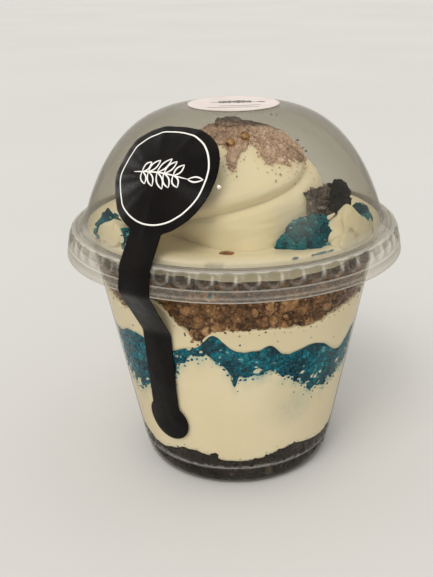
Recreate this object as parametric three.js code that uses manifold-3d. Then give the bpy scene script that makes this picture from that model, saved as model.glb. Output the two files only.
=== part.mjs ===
// A layered cheesecake cup, in millimetres: a clear tapered cup with five layers inside, cream and
// crumb toppings above the rim, a clear dome lid over them, a round label and a paper seal.
// +Z is up, the cup stands on z = 0, its axis is x = y = 0, and its front faces -Y.
import * as THREE from 'three';
import { mergeVertices } from 'three/addons/utils/BufferGeometryUtils.js';
import Module from 'manifold-3d';

const wasm = await Module();
wasm.setup();

const DEG = Math.PI / 180;
const GAP = 0.3;                 // clearance between pieces that touch

// ---- driving dimensions ------------------------------------------------------------------------

const CUP_SIDES = 44;            // flats round the cup and its layers
const DOME_SIDES = 36;
const FOOT_R = 26.5;             // foot, where the cup stands
const HEEL_R = 29.8;             // end of the rounded heel
const HEEL_Z = 6.4;
const STEP_R = 30.3;             // moulded stacking ring above the heel
const STEP_Z = 7;
const NECK_R = 42.4;             // wall just under the rim
const NECK_Z = 71.6;
const CUP_WALL = 0.6;
const FLOOR_RISE = 1;            // the floor is raised inside the foot
const FLOOR_EDGE_R = 19.5;
const MOUTH_R = 43.4;            // inside the rim
const RIM_Z = 75.1;
const RIM_R = 46.9;              // outside of the rolled rim

const LID_WALL = 0.5;
const LID_R = 49.5;              // lip at the bottom of the skirt
const SKIRT_Z = 67.9;
const SHOULDER_R = 48.3;
const SHOULDER_Z = 74.3;
const LEDGE_R = 46.9;
const LEDGE_Z = 75.95;
const DOME_R = 44;               // foot of the dome
const DOME_Z = 76;
const DOME_HEIGHT = 33.2;        // to where the curve would close
const PLATEAU_R = 14.4;          // flat top
const LID_TOP_Z = 108.9;
const SNAP_COUNT = 52;           // snap ribs pressed into the skirt
const SNAP_DEPTH = 0.6;
const SNAP_PHASE = -2;           // degrees from the front to the nearest rib

const LABEL_R = 13.05;
const LABEL_AT = [0.5, -0.4];
const PAPER = 0.3;

const SEAL_AT = -32.3;           // seal: degrees from the front to the middle of its disc
const SEAL_R = 15.8;
const SEAL_DISC_RISE = 22.2;     // along the dome, from its foot to the middle of the disc
const STRIP_WIDTH = 9.8;
const SEAL_END_R = 7;
const SEAL_END_Z = 22.3;

const SWIRL_AT = [-0.5, -7];     // soft cream swirl
const SWIRL_R = 26.5;
const SWIRL_WIDEST_Z = 82;
const SWIRL_TOP_Z = 105.6;
const FOLD_START = -100;         // degrees, where the fold leaves the base
const FOLD_DEPTH = 2.4;
const CREAM_Z = 76.4;            // flat cream that the toppings lie on

// ---- helpers -----------------------------------------------------------------------------------

const angleApart = (a, b) => ((a - b + 540) % 360 + 360) % 360 - 180;

// Sum of smooth lumps [angle, half width, height] round a circle.
function lumps(list, angle) {
  let sum = 0;
  for (const [at, width, height] of list) {
    sum += height * Math.exp(-((angleApart(angle, at) / width) ** 2));
  }
  return sum;
}

// Repeatable scatter from -1 to 1.
function scatter(a, b, c = 0) {
  const s = Math.sin(a * 12.9898 + b * 78.233 + c * 37.719) * 43758.5453;
  return 2 * (s - Math.floor(s)) - 1;
}

// Merges shared vertices and turns the faces outwards.
function closed(geometry) {
  geometry.deleteAttribute('normal');
  geometry.deleteAttribute('uv');
  const merged = mergeVertices(geometry, 1e-3);
  const index = [];
  const source = merged.index.array;
  for (let i = 0; i < source.length; i += 3) {
    const [a, b, c] = source.slice(i, i + 3);
    if (a !== b && b !== c && c !== a) {
      index.push(a, b, c);
    }
  }
  const p = [0, 1, 2].map(() => new THREE.Vector3());
  let volume = 0;
  for (let i = 0; i < index.length; i += 3) {
    p.forEach((v, k) => v.fromBufferAttribute(merged.attributes.position, index[i + k]));
    volume += p[0].dot(p[1].clone().cross(p[2]));
  }
  merged.setIndex(volume < 0 ? index.reverse() : index);
  return merged;
}

const toSolid = (geometry) => new wasm.Manifold(new wasm.Mesh({
  numProp: 3,
  vertProperties: new Float32Array(geometry.attributes.position.array),
  triVerts: new Uint32Array(geometry.index.array),
}));

function fromSolid(solid) {
  const mesh = solid.getMesh();
  const geometry = new THREE.BufferGeometry();
  geometry.setAttribute('position', new THREE.BufferAttribute(mesh.vertProperties, 3));
  geometry.setIndex(new THREE.BufferAttribute(mesh.triVerts, 1));
  return geometry;
}

// The largest of a solid's separate lumps, so that no loose scrap is kept.
function mainLump(solid) {
  return solid.decompose().reduce((a, b) => (a.volume() > b.volume() ? a : b));
}

// A lathe whose profile may change with the angle. profile(angle) gives [r, z] points, which start
// and end on the axis or run round to the first point again; centre(z) bends the axis. way is the
// direction of turning: layers that lie on each other turn opposite ways, so that the triangles of
// the two faces match.
const UPRIGHT = () => [0, 0];
function spun(profile, sides = CUP_SIDES, { ring = false, phase = 0, way = 1, centre = UPRIGHT } = {}) {
  const close = (points) => (ring ? [...points, points[0]] : points);
  const first = close(profile(phase)).map(([r, z]) => new THREE.Vector2(r, z));
  const geometry = new THREE.LatheGeometry(first, sides);
  const position = geometry.attributes.position;
  for (let i = 0; i <= sides; i++) {
    const angle = phase + way * (i % sides) * 360 / sides;
    close(profile(angle)).forEach(([r, z], j) => {
      const [x, y] = centre(z);
      const along = r * Math.sin(angle * DEG);
      position.setXYZ(i * first.length + j, x + along, y - r * Math.cos(angle * DEG), z);
    });
  }
  return closed(geometry);
}

const group = new THREE.Group();

function add(name, geometry, color, roughness) {
  const material = new THREE.MeshStandardMaterial({ color, roughness, metalness: 0 });
  const mesh = new THREE.Mesh(geometry, material);
  mesh.name = name;
  group.add(mesh);
  return mesh;
}

function addClear(name, geometry) {
  const mesh = add(name, geometry, 0xd9dcd8, 0.08);
  mesh.material.transparent = true;
  mesh.material.opacity = 0.3;
}

// ---- cup ---------------------------------------------------------------------------------------

// Outside of the cup's wall at height z.
function cupOutside(z) {
  if (z < HEEL_Z) {
    return FOOT_R + (HEEL_R - FOOT_R) * Math.sin(Math.acos(1 - Math.max(z, 0) / HEEL_Z));
  }
  return STEP_R + (NECK_R - STEP_R) * (z - STEP_Z) / (NECK_Z - STEP_Z);
}

// Outside of what fills the cup at height z.
function fillingR(z) {
  if (z > NECK_Z) {
    const reach = (z - NECK_Z) / (RIM_Z - NECK_Z);
    return cupOutside(NECK_Z) - CUP_WALL - GAP + (MOUTH_R - NECK_R + CUP_WALL - 0.1) * Math.min(reach, 1);
  }
  return cupOutside(z) - CUP_WALL - GAP;
}

function cupProfile() {
  const heel = [0, 0.9, 3.2, HEEL_Z];
  const curlZ = 71.9;
  return [
    [0, FLOOR_RISE],
    [FLOOR_EDGE_R - 1, FLOOR_RISE],
    [FLOOR_EDGE_R, 0],
    ...heel.map((z) => [cupOutside(z), z]),
    [STEP_R, STEP_Z],
    [NECK_R, NECK_Z],
    [MOUTH_R + 0.2, RIM_Z - 0.9],
    [RIM_R - CUP_WALL - 0.3, RIM_Z - CUP_WALL],
    [RIM_R - CUP_WALL, curlZ],
    [RIM_R, curlZ],
    [RIM_R, RIM_Z - 0.8],
    [RIM_R - 0.7, RIM_Z],
    [MOUTH_R, RIM_Z],
    [NECK_R - CUP_WALL, NECK_Z],
    [STEP_R - CUP_WALL, STEP_Z + 0.4],
    [cupOutside(3) - CUP_WALL, 3],
    [FOOT_R - 0.8, CUP_WALL],
    [FLOOR_EDGE_R + 1.5, CUP_WALL],
    [FLOOR_EDGE_R - 0.5, FLOOR_RISE + CUP_WALL],
    [0, FLOOR_RISE + CUP_WALL],
  ];
}

addClear('cup', spun(cupProfile));

// ---- lid ---------------------------------------------------------------------------------------

function domeR(z) {
  const share = Math.min(Math.max((z - DOME_Z) / DOME_HEIGHT, 0), 1);
  return DOME_R * (1 - share ** 1.2) ** (1 / 3.5);
}

const DOME_STEPS = [81, 88, 94, 99.5, 104, 106.8, 108.2];

function domeProfile(grow = 0, top = LID_TOP_Z, foot = DOME_Z) {
  return [
    ...[foot, ...DOME_STEPS].map((z) => [domeR(z) + grow, z + grow * ((z - DOME_Z) / DOME_HEIGHT) ** 2]),
    [PLATEAU_R, top],
    [0, top],
  ];
}

function dome() {
  const outer = domeProfile(0, LID_TOP_Z, LEDGE_Z - 0.7);
  const inner = domeProfile(-LID_WALL, LID_TOP_Z - LID_WALL, LEDGE_Z - 0.7).reverse();
  return toSolid(spun(() => [...inner, ...outer], DOME_SIDES));
}

// The ledge round the dome and the skirt that snaps over the rim, with its ribs.
function skirt() {
  const wall = LID_WALL;
  const profile = (angle) => {
    const step = Math.round((angle - SNAP_PHASE) / (180 / SNAP_COUNT));
    const press = step % 2 === 0 ? SNAP_DEPTH : 0;
    return [
      [DOME_R - 0.3, LEDGE_Z],
      [LEDGE_R, LEDGE_Z - 0.1],
      [SHOULDER_R - press, SHOULDER_Z],
      [SHOULDER_R + 0.5 - press / 3, SHOULDER_Z - 3.1],
      [LID_R, SKIRT_Z + 0.6],
      [LID_R, SKIRT_Z],
      [LID_R - wall, SKIRT_Z],
      [SHOULDER_R - wall - press, SHOULDER_Z - 0.2],
      [LEDGE_R - 0.3, LEDGE_Z - wall - 0.1],
      [DOME_R - 0.3, LEDGE_Z - wall],
    ];
  };
  return toSolid(spun(profile, 2 * SNAP_COUNT, { ring: true, phase: SNAP_PHASE }));
}

addClear('lid', fromSolid(dome().add(skirt())));

// ---- layers ------------------------------------------------------------------------------------

// Heights of the boundaries between layers at the wall: a level, and lumps [angle, half width,
// height], with 0 at the front and + to the right.
const BOUNDARY = {
  baseTop: { level: 11, lumps: [[-49, 9, -1.5], [-26, 12, 1.5], [33, 12, 2], [0, 14, -1.3], [90, 16, 1.4],
    [120, 14, -1.2], [180, 14, -0.8], [210, 14, 1.9], [270, 16, 0.9]] },
  blueBottom: { level: 34, lumps: [[-14, 14, 9.9], [-22, 8, 3.8], [-8, 8, 2.5], [14, 16, 6.6], [-58, 14, -5.4],
    [45, 14, -3.3], [110, 16, 2.2], [130, 14, -3.4], [170, 16, 3.5], [210, 14, 2.6], [250, 15, 1.4]] },
  blueTop: { level: 46, lumps: [[-9, 6, 6.7], [-48, 14, 3.8], [-20, 8, 3], [5, 12, 2.9], [14, 4, 2.6],
    [34, 10, 2], [54, 9, -4.1], [110, 14, 2.9], [170, 16, 3.9], [210, 12, 2.3], [250, 12, 1.8]] },
  biscuitBottom: { level: 57, lumps: [[-34, 8, 6.3], [-15, 5, -4.6], [0, 16, -1.5], [30, 14, -2.7], [-22, 5, -1.2],
    [110, 12, -2], [130, 12, 2.1], [190, 12, -2.3], [230, 12, -1.9], [255, 14, 2], [285, 14, 3.2]] },
  biscuitTop: { level: 71, lumps: [[-20, 12, 0.8], [15, 14, -0.7], [60, 16, 0.6], [140, 18, -0.8], [230, 20, 0.7]] },
};
const LEAST_LAYER = 0.7;         // thinnest that a layer gets
const INNER_RING = 0.6;          // share of the radius where a boundary's lumps have mostly died away

function boundaryZ({ level, lumps: list }, angle, share = 1) {
  return level + lumps(list, angle) * share ** 2;
}

const blueBottomZ = (angle, share) => Math.min(
  boundaryZ(BOUNDARY.blueBottom, angle, share),
  boundaryZ(BOUNDARY.blueTop, angle, share) - LEAST_LAYER - GAP,
);
const biscuitBottomZ = (angle, share) => Math.max(
  boundaryZ(BOUNDARY.biscuitBottom, angle, share),
  boundaryZ(BOUNDARY.blueTop, angle, share) + LEAST_LAYER + GAP,
);

// A layer between two boundaries, its side against the wall; relief makes the side crumbly.
function layer(bottomZ, topZ, { relief = 0, rows = 0, seed = 0, way = 1 } = {}) {
  const face = (z, angle, lift) => [INNER_RING * fillingR(z(angle, INNER_RING)), z(angle, INNER_RING) + lift];
  return spun((angle) => {
    const low = bottomZ(angle, 1) + GAP / 2;
    const high = topZ(angle, 1) - GAP / 2;
    const side = [];
    for (let row = 1; row <= rows; row++) {
      const z = low + (high - low) * row / (rows + 1);
      side.push([fillingR(z) - relief * (0.5 + 0.5 * scatter(angle, row, seed)), z]);
    }
    return [
      [0, bottomZ(angle, 0) + GAP / 2],
      face(bottomZ, angle, GAP / 2),
      [fillingR(low), low],
      ...side,
      [fillingR(high), high],
      face(topZ, angle, -GAP / 2),
      [0, topZ(angle, 0) - GAP / 2],
    ];
  }, CUP_SIDES, { way });
}

const floorZ = FLOOR_RISE + CUP_WALL + GAP;
const baseTopZ = (angle, share) => boundaryZ(BOUNDARY.baseTop, angle, share);
const blueTopZ = (angle, share) => boundaryZ(BOUNDARY.blueTop, angle, share);
const biscuitTopZ = (angle, share) => boundaryZ(BOUNDARY.biscuitTop, angle, share);

add('dark_base', spun((angle) => [
  [0, floorZ],
  [FLOOR_EDGE_R - 0.5, floorZ],
  [FLOOR_EDGE_R + 1.8, CUP_WALL + GAP],
  [FOOT_R - 1.2, CUP_WALL + GAP],
  ...[3, 7.2].map((z, row) => [Math.min(fillingR(z), STEP_R - 1) - 0.35 * (1 + scatter(angle, row, 1)), z]),
  [fillingR(baseTopZ(angle, 1)), baseTopZ(angle, 1) - GAP / 2],
  [INNER_RING * fillingR(baseTopZ(angle, INNER_RING)), baseTopZ(angle, INNER_RING) - GAP / 2],
  [0, BOUNDARY.baseTop.level - GAP / 2],
]), 0x2f2925, 0.95);
add('cream_lower', layer(baseTopZ, blueBottomZ, { way: -1 }), 0xd9c7a0, 0.55);
add('blue_crumb', layer(blueBottomZ, blueTopZ, { relief: 0.7, rows: 2, seed: 3 }), 0x1c6a72, 0.9);
add('cream_upper', layer(blueTopZ, biscuitBottomZ, { way: -1 }), 0xcfc09a, 0.55);
add('biscuit_crumb', layer(biscuitBottomZ, biscuitTopZ, { relief: 0.9, rows: 3, seed: 5 }), 0x6e5238, 0.95);

// ---- flat cream on top, with the caramel drop on it ---------------------------------------------

const DROP_AT = [-1.9, -36.2];

function creamTopProfile(angle) {
  const low = biscuitTopZ(angle, 1) + GAP / 2;
  const bed = biscuitTopZ(angle, INNER_RING);
  const edge = MOUTH_R - 0.5;
  return [
    [0, biscuitTopZ(angle, 0) + GAP / 2],
    [INNER_RING * fillingR(bed), bed + GAP / 2],
    [fillingR(low), low],
    [edge, RIM_Z + 0.2],
    [edge - 0.4, CREAM_Z - 0.4],
    [edge - 1.8, CREAM_Z],
    [0, CREAM_Z],
  ];
}

function drop() {
  const geometry = new THREE.SphereGeometry(1, 12, 6);
  geometry.scale(1.9, 0.9, 0.7);
  geometry.rotateZ(-8 * DEG);
  geometry.translate(DROP_AT[0], DROP_AT[1], CREAM_Z + 0.1);
  return toSolid(closed(geometry));
}

const creamTop = toSolid(spun(creamTopProfile, CUP_SIDES, { way: -1 }));

// ---- swirl and its cap of crumbs ---------------------------------------------------------------

const SWIRL_BASE_Z = CREAM_Z + GAP;

// Radius of the swirl as a plain shape of revolution.
function swirlR(z) {
  if (z < SWIRL_WIDEST_Z) {
    return SWIRL_R - 0.12 * (SWIRL_WIDEST_Z - z);
  }
  const share = Math.min((z - SWIRL_WIDEST_Z) / (SWIRL_TOP_Z + 0.2 - SWIRL_WIDEST_Z), 1);
  const knob = 1.5 * Math.exp(-(((z - SWIRL_TOP_Z + 0.6) / 0.9) ** 2));
  return SWIRL_R * (1 - share ** 2.6) + knob;
}

// Height of the fold that winds once round the swirl, from the base to the tip.
function foldZ(angle) {
  const turned = ((angle - FOLD_START) % 360 + 360) % 360 / 360;
  return SWIRL_BASE_Z - 1.2 + (SWIRL_TOP_Z - SWIRL_BASE_Z) * (1 - (1 - turned) ** 1.4);
}

const BASE_DENT = [[-42, 28, -5.5], [15, 25, 1.3]];   // the first turn starts small at the left

function swirlPoint(angle, z, grow) {
  const fold = foldZ(angle);
  const crease = FOLD_DEPTH * Math.exp(-Math.abs(z - fold) / 1.7);
  const overhang = z < fold ? 0 : 0.9 * Math.exp(-(((z - fold - 3.5) / 3) ** 2));
  const low = Math.max(0, 1 - (z - SWIRL_BASE_Z) / 7);
  const size = swirlR(z) + lumps(BASE_DENT, angle) * low ** 0.7;
  const fade = Math.min(1, swirlR(z) / 9);
  return Math.max(size - (crease - overhang) * fade + grow, 0.6 + grow);
}

// The last turn lies a little to the right of the first.
const lean = (z) => [
  SWIRL_AT[0] + 2 * Math.exp(-(((z - SWIRL_TOP_Z + 4.1) / 2.4) ** 2)),
  SWIRL_AT[1],
];

// Heights of a column of points up the swirl, closer together at its fold.
function swirlRows(angle) {
  const fold = Math.min(Math.max(foldZ(angle), SWIRL_BASE_Z + 3.2), SWIRL_TOP_Z - 4.2);
  const below = [0, 0.35, 0.75].map((t) => SWIRL_BASE_Z + (fold - 1.1 - SWIRL_BASE_Z) * t);
  const above = [0.12, 0.3, 0.55, 0.8].map((t) => fold + (SWIRL_TOP_Z - fold) * t);
  return [...below, fold - 1.1, fold, ...above, SWIRL_TOP_Z - 0.35];
}

const swirlProfile = (grow) => (angle) => [
  [0, SWIRL_BASE_Z - grow],
  ...swirlRows(angle).map((z, row) => [swirlPoint(angle, z, grow), row === 0 ? z - grow : z]),
  [0, SWIRL_TOP_Z + grow],
];
const SWIRL_SIDES = 32;
const swirl = toSolid(spun(swirlProfile(0), SWIRL_SIDES, { centre: lean }));
const swirlGrown = toSolid(spun(swirlProfile(GAP), SWIRL_SIDES, { centre: lean }));

// Lowest edge of the crumb cap: a level and lumps, as the layers have.
const CAP_EDGE = { level: 97.6, lumps: [[-22, 18, 3.6], [0, 4, -2.2], [17, 10, 3.5], [48, 16, -1.7],
  [76, 12, -2.6], [130, 20, 1.4], [180, 18, -1.6], [235, 20, 1.8], [290, 16, -0.8]] };
const CAP_THICK = 0.9;
const PEARL_R = 1.3;
const PEARLS = [[-0.7, -19.1, 101.5], [3.3, -16.4, 102.6]];

// The crumbs lie on the swirl as a thin crust with a ragged edge, rough outside. This is the crust
// before the swirl is cut out of it.
function capSolid() {
  const shares = [0, 0.16, 0.45, 0.75];
  return toSolid(spun((angle) => {
    const edge = boundaryZ(CAP_EDGE, angle) + 0.7 * scatter(angle, 2);
    const heights = shares.map((t) => edge + (SWIRL_TOP_Z - 0.35 - edge) * t);
    const crust = (row) => (row === 0 ? 0.4 : CAP_THICK * (1 + 0.45 * scatter(angle, row, 9)));
    return [
      [0, SWIRL_TOP_Z - 6],
      [swirlPoint(angle, edge, -4), edge - 0.3],
      ...heights.map((z, row) => [swirlPoint(angle, z, GAP + crust(row)), z + 0.15 * row * crust(row)]),
      [0, SWIRL_TOP_Z + GAP + CAP_THICK],
    ];
  }, SWIRL_SIDES, { centre: lean }));
}

function pearl([x, y, z]) {
  const geometry = new THREE.IcosahedronGeometry(PEARL_R, 1);
  geometry.translate(x, y, z);
  return toSolid(closed(geometry));
}

const cap = PEARLS.reduce((all, at) => all.add(pearl(at)), capSolid()).subtract(swirlGrown);

add('cream_top', fromSolid(creamTop.add(drop().subtract(swirlGrown))), 0xd8caa4, 0.5);
add('cream_swirl', fromSolid(swirl), 0xdccfa9, 0.5);
add('crumb_cap', fromSolid(mainLump(cap)), 0x9a8570, 0.95);

// ---- cream petals, biscuit chunks and heaps of blue crumbs round the swirl ----------------------

const TOPPING_Z = CREAM_Z + GAP;
const underDome = [[0, TOPPING_Z], ...domeProfile(-LID_WALL - GAP, LID_TOP_Z - 1, TOPPING_Z)];
const UNDER_DOME = toSolid(spun(() => underDome, DOME_SIDES));

// A piped petal: an oval foot that narrows to a leaning tip.
function petal({ foot, size, turn, tip, bulge = 0.35 }, grow = 0) {
  const shares = [0, 0.25, 0.55, 0.8, 0.94];
  const geometry = spun(() => [
    [0, 0],
    ...shares.map((t) => [(1 + bulge * Math.sin(Math.PI * t)) * (1 - t ** 2.2) ** 0.8, t]),
    [0, 1],
  ], 12);
  const position = geometry.attributes.position;
  const base = TOPPING_Z - 0.4;
  for (let i = 0; i < position.count; i++) {
    const t = position.getZ(i);
    const x = position.getX(i) * (size[0] + grow);
    const y = position.getY(i) * (size[1] + grow);
    const c = Math.cos(turn * DEG);
    const s = Math.sin(turn * DEG);
    position.setXYZ(
      i,
      foot[0] + (tip[0] - foot[0]) * t ** 1.6 + c * x - s * y,
      foot[1] + (tip[1] - foot[1]) * t ** 1.6 + s * x + c * y,
      base + (tip[2] + grow - base) * t,
    );
  }
  return toSolid(geometry);
}

// A broken chunk: a faceted block with its corners knocked about.
function chunk({ at, size, turn = 0, tilt = 0, seed }, grow = 0) {
  const geometry = closed(new THREE.IcosahedronGeometry(1, 1));
  const position = geometry.attributes.position;
  const v = new THREE.Vector3();
  for (let i = 0; i < position.count; i++) {
    v.fromBufferAttribute(position, i);
    const square = Math.max(Math.abs(v.x), Math.abs(v.y), Math.abs(v.z));
    v.multiplyScalar((0.55 + 0.45 / square) * (1 + 0.16 * scatter(i, seed)));
    position.setXYZ(i, v.x * (size[0] + grow), v.y * (size[1] + grow), v.z * (size[2] + grow));
  }
  geometry.rotateY(tilt * DEG);
  geometry.rotateZ(turn * DEG);
  geometry.translate(...at);
  return toSolid(geometry);
}

// A heap of crumbs: a low core with crumbs of 3 to 5 mm fused round it.
function heap({ at, size, crumbs, seed, turn = 0 }) {
  const core = closed(new THREE.IcosahedronGeometry(1, 1));
  const position = core.attributes.position;
  for (let i = 0; i < position.count; i++) {
    const [x, y, z] = size.map((half) => half * (0.92 + 0.12 * scatter(i, seed)));
    position.setXYZ(i, position.getX(i) * x, position.getY(i) * y, position.getZ(i) * z);
  }
  core.rotateZ(turn * DEG);
  core.translate(at[0], at[1], CREAM_Z);
  let solid = toSolid(core);
  for (let i = 0; i < crumbs; i++) {
    const crumb = closed(new THREE.IcosahedronGeometry(1.9 + 0.5 * scatter(i, seed, 4), 0));
    const round = 360 * (i * 0.618 + 0.1 * seed);
    const rise = 0.25 + 0.55 * ((i * 0.382) % 1);
    const out = Math.sqrt(1 - rise * rise);
    crumb.rotateX(round * DEG);
    crumb.translate(
      at[0] + 0.92 * size[0] * out * Math.cos((round + turn) * DEG),
      at[1] + 0.92 * size[1] * out * Math.sin((round + turn) * DEG),
      CREAM_Z + 0.92 * size[2] * rise,
    );
    solid = solid.add(toSolid(crumb));
  }
  return solid;
}

const PETALS = {
  petal_right: { foot: [29.6, -25.6], size: [4.8, 6.4], turn: -42, tip: [30.8, -24.4, 85.6], bulge: 0.2 },
  petal_small: { foot: [35, -21.2], size: [2.6, 4], turn: -58, tip: [37.8, -19.4, 80.4], bulge: 0.1 },
  petal_left: { foot: [-30.8, -24], size: [4.8, 6.2], turn: 52, tip: [-32, -24.6, 82.8], bulge: 0.3 },
  petal_back: { foot: [-20, 29], size: [5.4, 6], turn: -35, tip: [-21, 27.5, 84.5] },
};
const CHUNKS = {
  cookie_chunk: { at: [28.4, -21.4, 87], size: [3.2, 3, 5], turn: 20, tilt: 6, seed: 6 },
  biscuit_chunk: { at: [23.2, -22.2, 86], size: [5.6, 3.2, 4.6], turn: 22, tilt: -8, seed: 2 },
};
const HEAPS = {
  blue_heap_right: { at: [19.6, -26.4], size: [9.4, 7.8, 8], crumbs: 8, seed: 1, turn: 24 },
  blue_heap_side: { at: [35, -14.6], size: [3.8, 8, 8], crumbs: 6, seed: 2, turn: 18 },
  blue_heap_left: { at: [-35.2, -16], size: [3.8, 5.6, 7.2], crumbs: 6, seed: 3, turn: -22 },
  blue_heap_front_left: { at: [-28.2, -28.8], size: [2.6, 2.6, 6], crumbs: 4, seed: 4 },
  blue_heap_back: { at: [15, 30.6], size: [8, 4.4, 4.6], crumbs: 7, seed: 5, turn: -25 },
};

// Pieces placed earlier keep their shape, and each later one is cut clear of them.
let taken = swirlGrown;
function place(name, shape, grown, color, roughness) {
  const solid = mainLump(shape.intersect(UNDER_DOME).subtract(taken));
  taken = taken.add(grown);
  add(name, fromSolid(solid), color, roughness);
}

for (const [name, spec] of Object.entries(PETALS)) {
  place(name, petal(spec), petal(spec, GAP), 0xe2d6b2, 0.5);
}
for (const [name, spec] of Object.entries(CHUNKS)) {
  const color = name === 'cookie_chunk' ? 0x2e2a27 : 0x6b6157;
  place(name, chunk(spec), chunk(spec, GAP), color, 0.95);
}
for (const [name, spec] of Object.entries(HEAPS)) {
  const solid = heap(spec);
  place(name, solid, solid, 0x1b6f78, 0.9);
}

// ---- label on the top --------------------------------------------------------------------------

const label = new THREE.CylinderGeometry(LABEL_R, LABEL_R, PAPER, 24);
label.rotateX(90 * DEG);
label.translate(LABEL_AT[0], LABEL_AT[1], LID_TOP_Z + GAP + PAPER / 2);
add('top_label', closed(label), 0xe3d8d4, 0.6);

// ---- seal --------------------------------------------------------------------------------------

// Course of the seal's middle line, from the top of its disc to the end of its strip:
// [angle, radius, height]. It follows the dome, leaps the ledge, lies on the skirt and spans down
// to the cup's wall.
function sealCourse() {
  const course = [];
  const lift = GAP;
  const rise = [];
  for (let z = LID_TOP_Z - 1; z > DOME_Z + 6; z -= 0.4) {
    rise.push([domeR(z) + lift, z]);
  }
  for (const [r, z] of rise) {
    course.push([SEAL_AT, r, z]);
  }
  course.push([-31.4, SHOULDER_R + lift + 0.3, SHOULDER_Z + 0.5]);
  course.push([-31.4, SHOULDER_R + 0.7 + lift, SHOULDER_Z - 2.8]);
  course.push([-31.5, LID_R + lift, SKIRT_Z + 0.3]);
  const landing = 53;
  course.push([-33.4, cupOutside(landing) + lift, landing]);
  for (const [angle, z] of [[-34.8, 44], [-36.4, 33], [-37, SEAL_END_Z + 6], [-37, SEAL_END_Z - SEAL_END_R]]) {
    course.push([angle, cupOutside(z) + lift, z]);
  }
  return course;
}

function sealGeometry() {
  const course = sealCourse();
  const lengths = [0];
  for (let i = 1; i < course.length; i++) {
    const [, r0, z0] = course[i - 1];
    const [, r1, z1] = course[i];
    lengths.push(lengths[i - 1] + Math.hypot(r1 - r0, z1 - z0));
  }
  const at = (s) => {
    let i = 1;
    while (i < course.length - 1 && lengths[i] < s) {
      i++;
    }
    const t = Math.min(Math.max((s - lengths[i - 1]) / (lengths[i] - lengths[i - 1]), 0), 1);
    return course[i].map((v, k) => course[i - 1][k] + (v - course[i - 1][k]) * t);
  };
  // Where along the course the disc's middle and its stations are.
  let discAt = 0;
  let climbed = 0;
  for (let z = DOME_Z; climbed < SEAL_DISC_RISE; z += 0.05) {
    climbed += Math.hypot(domeR(z + 0.05) - domeR(z), 0.05);
    discAt = lengths[course.findIndex(([, , high]) => high <= z)];
  }
  const half = STRIP_WIDTH / 2;
  const stations = [];
  for (const turn of [12, 26, 42, 60, 78, 96, 114, 130, 143, 162]) {
    stations.push([discAt - SEAL_R * Math.cos(turn * DEG), Math.max(SEAL_R * Math.sin(turn * DEG), half)]);
  }
  stations[0][1] = SEAL_R * Math.sin(12 * DEG);
  const fixed = course.map((c, i) => [lengths[i], half]).slice(course.findIndex(([, , z]) => z < SHOULDER_Z + 1));
  stations.push(...fixed.slice(0, -2));
  const end = lengths[lengths.length - 1];
  for (const turn of [42, 60, 90, 120, 145, 165]) {
    stations.push([end - SEAL_END_R - SEAL_END_R * Math.cos(turn * DEG), SEAL_END_R * Math.sin(turn * DEG)]);
  }
  const rows = stations.length - 1;
  const across = 4;
  const geometry = new THREE.BoxGeometry(2, rows, 1, across, rows, 1);
  const position = geometry.attributes.position;
  for (let i = 0; i < position.count; i++) {
    const [s, wide] = stations[Math.round(rows / 2 - position.getY(i))];
    const [angle, r, z] = at(s);
    const [, r0, z0] = at(s - 0.8);
    const [, r1, z1] = at(s + 0.8);
    const slope = Math.hypot(r1 - r0, z1 - z0);
    const out = position.getZ(i) > 0 ? PAPER : 0;
    const turned = angle * DEG + position.getX(i) * wide / r;
    const reach = r + out * (z0 - z1) / slope;
    position.setXYZ(i, reach * Math.sin(turned), -reach * Math.cos(turned), z + out * (r1 - r0) / slope);
  }
  return closed(geometry);
}

add('seal_label', sealGeometry(), 0x191817, 0.35);

export default group;
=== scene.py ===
import math

import bmesh
import bpy
import numpy as np
from mathutils import Euler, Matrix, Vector, noise


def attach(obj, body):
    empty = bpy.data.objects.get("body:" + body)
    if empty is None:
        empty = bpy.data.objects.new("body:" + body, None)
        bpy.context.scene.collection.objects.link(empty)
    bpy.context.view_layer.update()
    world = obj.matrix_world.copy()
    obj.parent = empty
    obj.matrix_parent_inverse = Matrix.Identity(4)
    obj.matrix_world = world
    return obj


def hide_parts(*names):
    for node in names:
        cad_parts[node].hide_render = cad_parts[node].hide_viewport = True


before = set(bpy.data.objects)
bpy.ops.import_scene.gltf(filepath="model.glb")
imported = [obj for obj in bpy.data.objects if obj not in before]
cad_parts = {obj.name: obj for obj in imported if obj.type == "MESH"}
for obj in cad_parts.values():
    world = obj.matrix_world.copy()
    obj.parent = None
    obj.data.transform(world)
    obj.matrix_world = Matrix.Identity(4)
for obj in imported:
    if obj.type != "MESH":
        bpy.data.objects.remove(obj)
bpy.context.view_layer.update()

MM = 0.001
BODY = "root"

# ---- sizes of the real thing ---------------------------------------------------------------------

FOOT_R = 26.5                # where the cup stands
HEEL_R, HEEL_Z = 29.8, 6.4   # end of the rounded heel
STEP_R, STEP_Z = 30.3, 7.0   # stacking ring
NECK_R, NECK_Z = 42.4, 71.6  # wall just under the rim
RIM_R, RIM_Z = 46.9, 75.1
MOUTH_R = 43.4
CUP_WALL = 0.6
FLOOR_RISE, FLOOR_EDGE_R = 1.0, 19.5
INTO_WALL = 0.3              # how far what fills the cup reaches into its wall

LID_WALL = 0.4
LID_R = 49.5
SKIRT_Z = 67.9
SHOULDER_R, SHOULDER_Z = 48.3, 74.3
LEDGE_R, LEDGE_Z = 46.9, 75.95
DOME_R, DOME_Z, DOME_HEIGHT = 44.0, 76.0, 33.2
PLATEAU_R, LID_TOP_Z = 14.4, 108.9
SNAP_COUNT, SNAP_DEPTH, SNAP_PHASE = 52, 0.55, -2.0

LABEL_R, LABEL_AT = 13.05, (0.5, -0.4)

SEAL_AT, SEAL_R, SEAL_DISC_RISE = -32.3, 15.8, 22.2
STRIP_WIDTH = 9.8
SEAL_END_R, SEAL_END_Z = 7.0, 22.3

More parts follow.
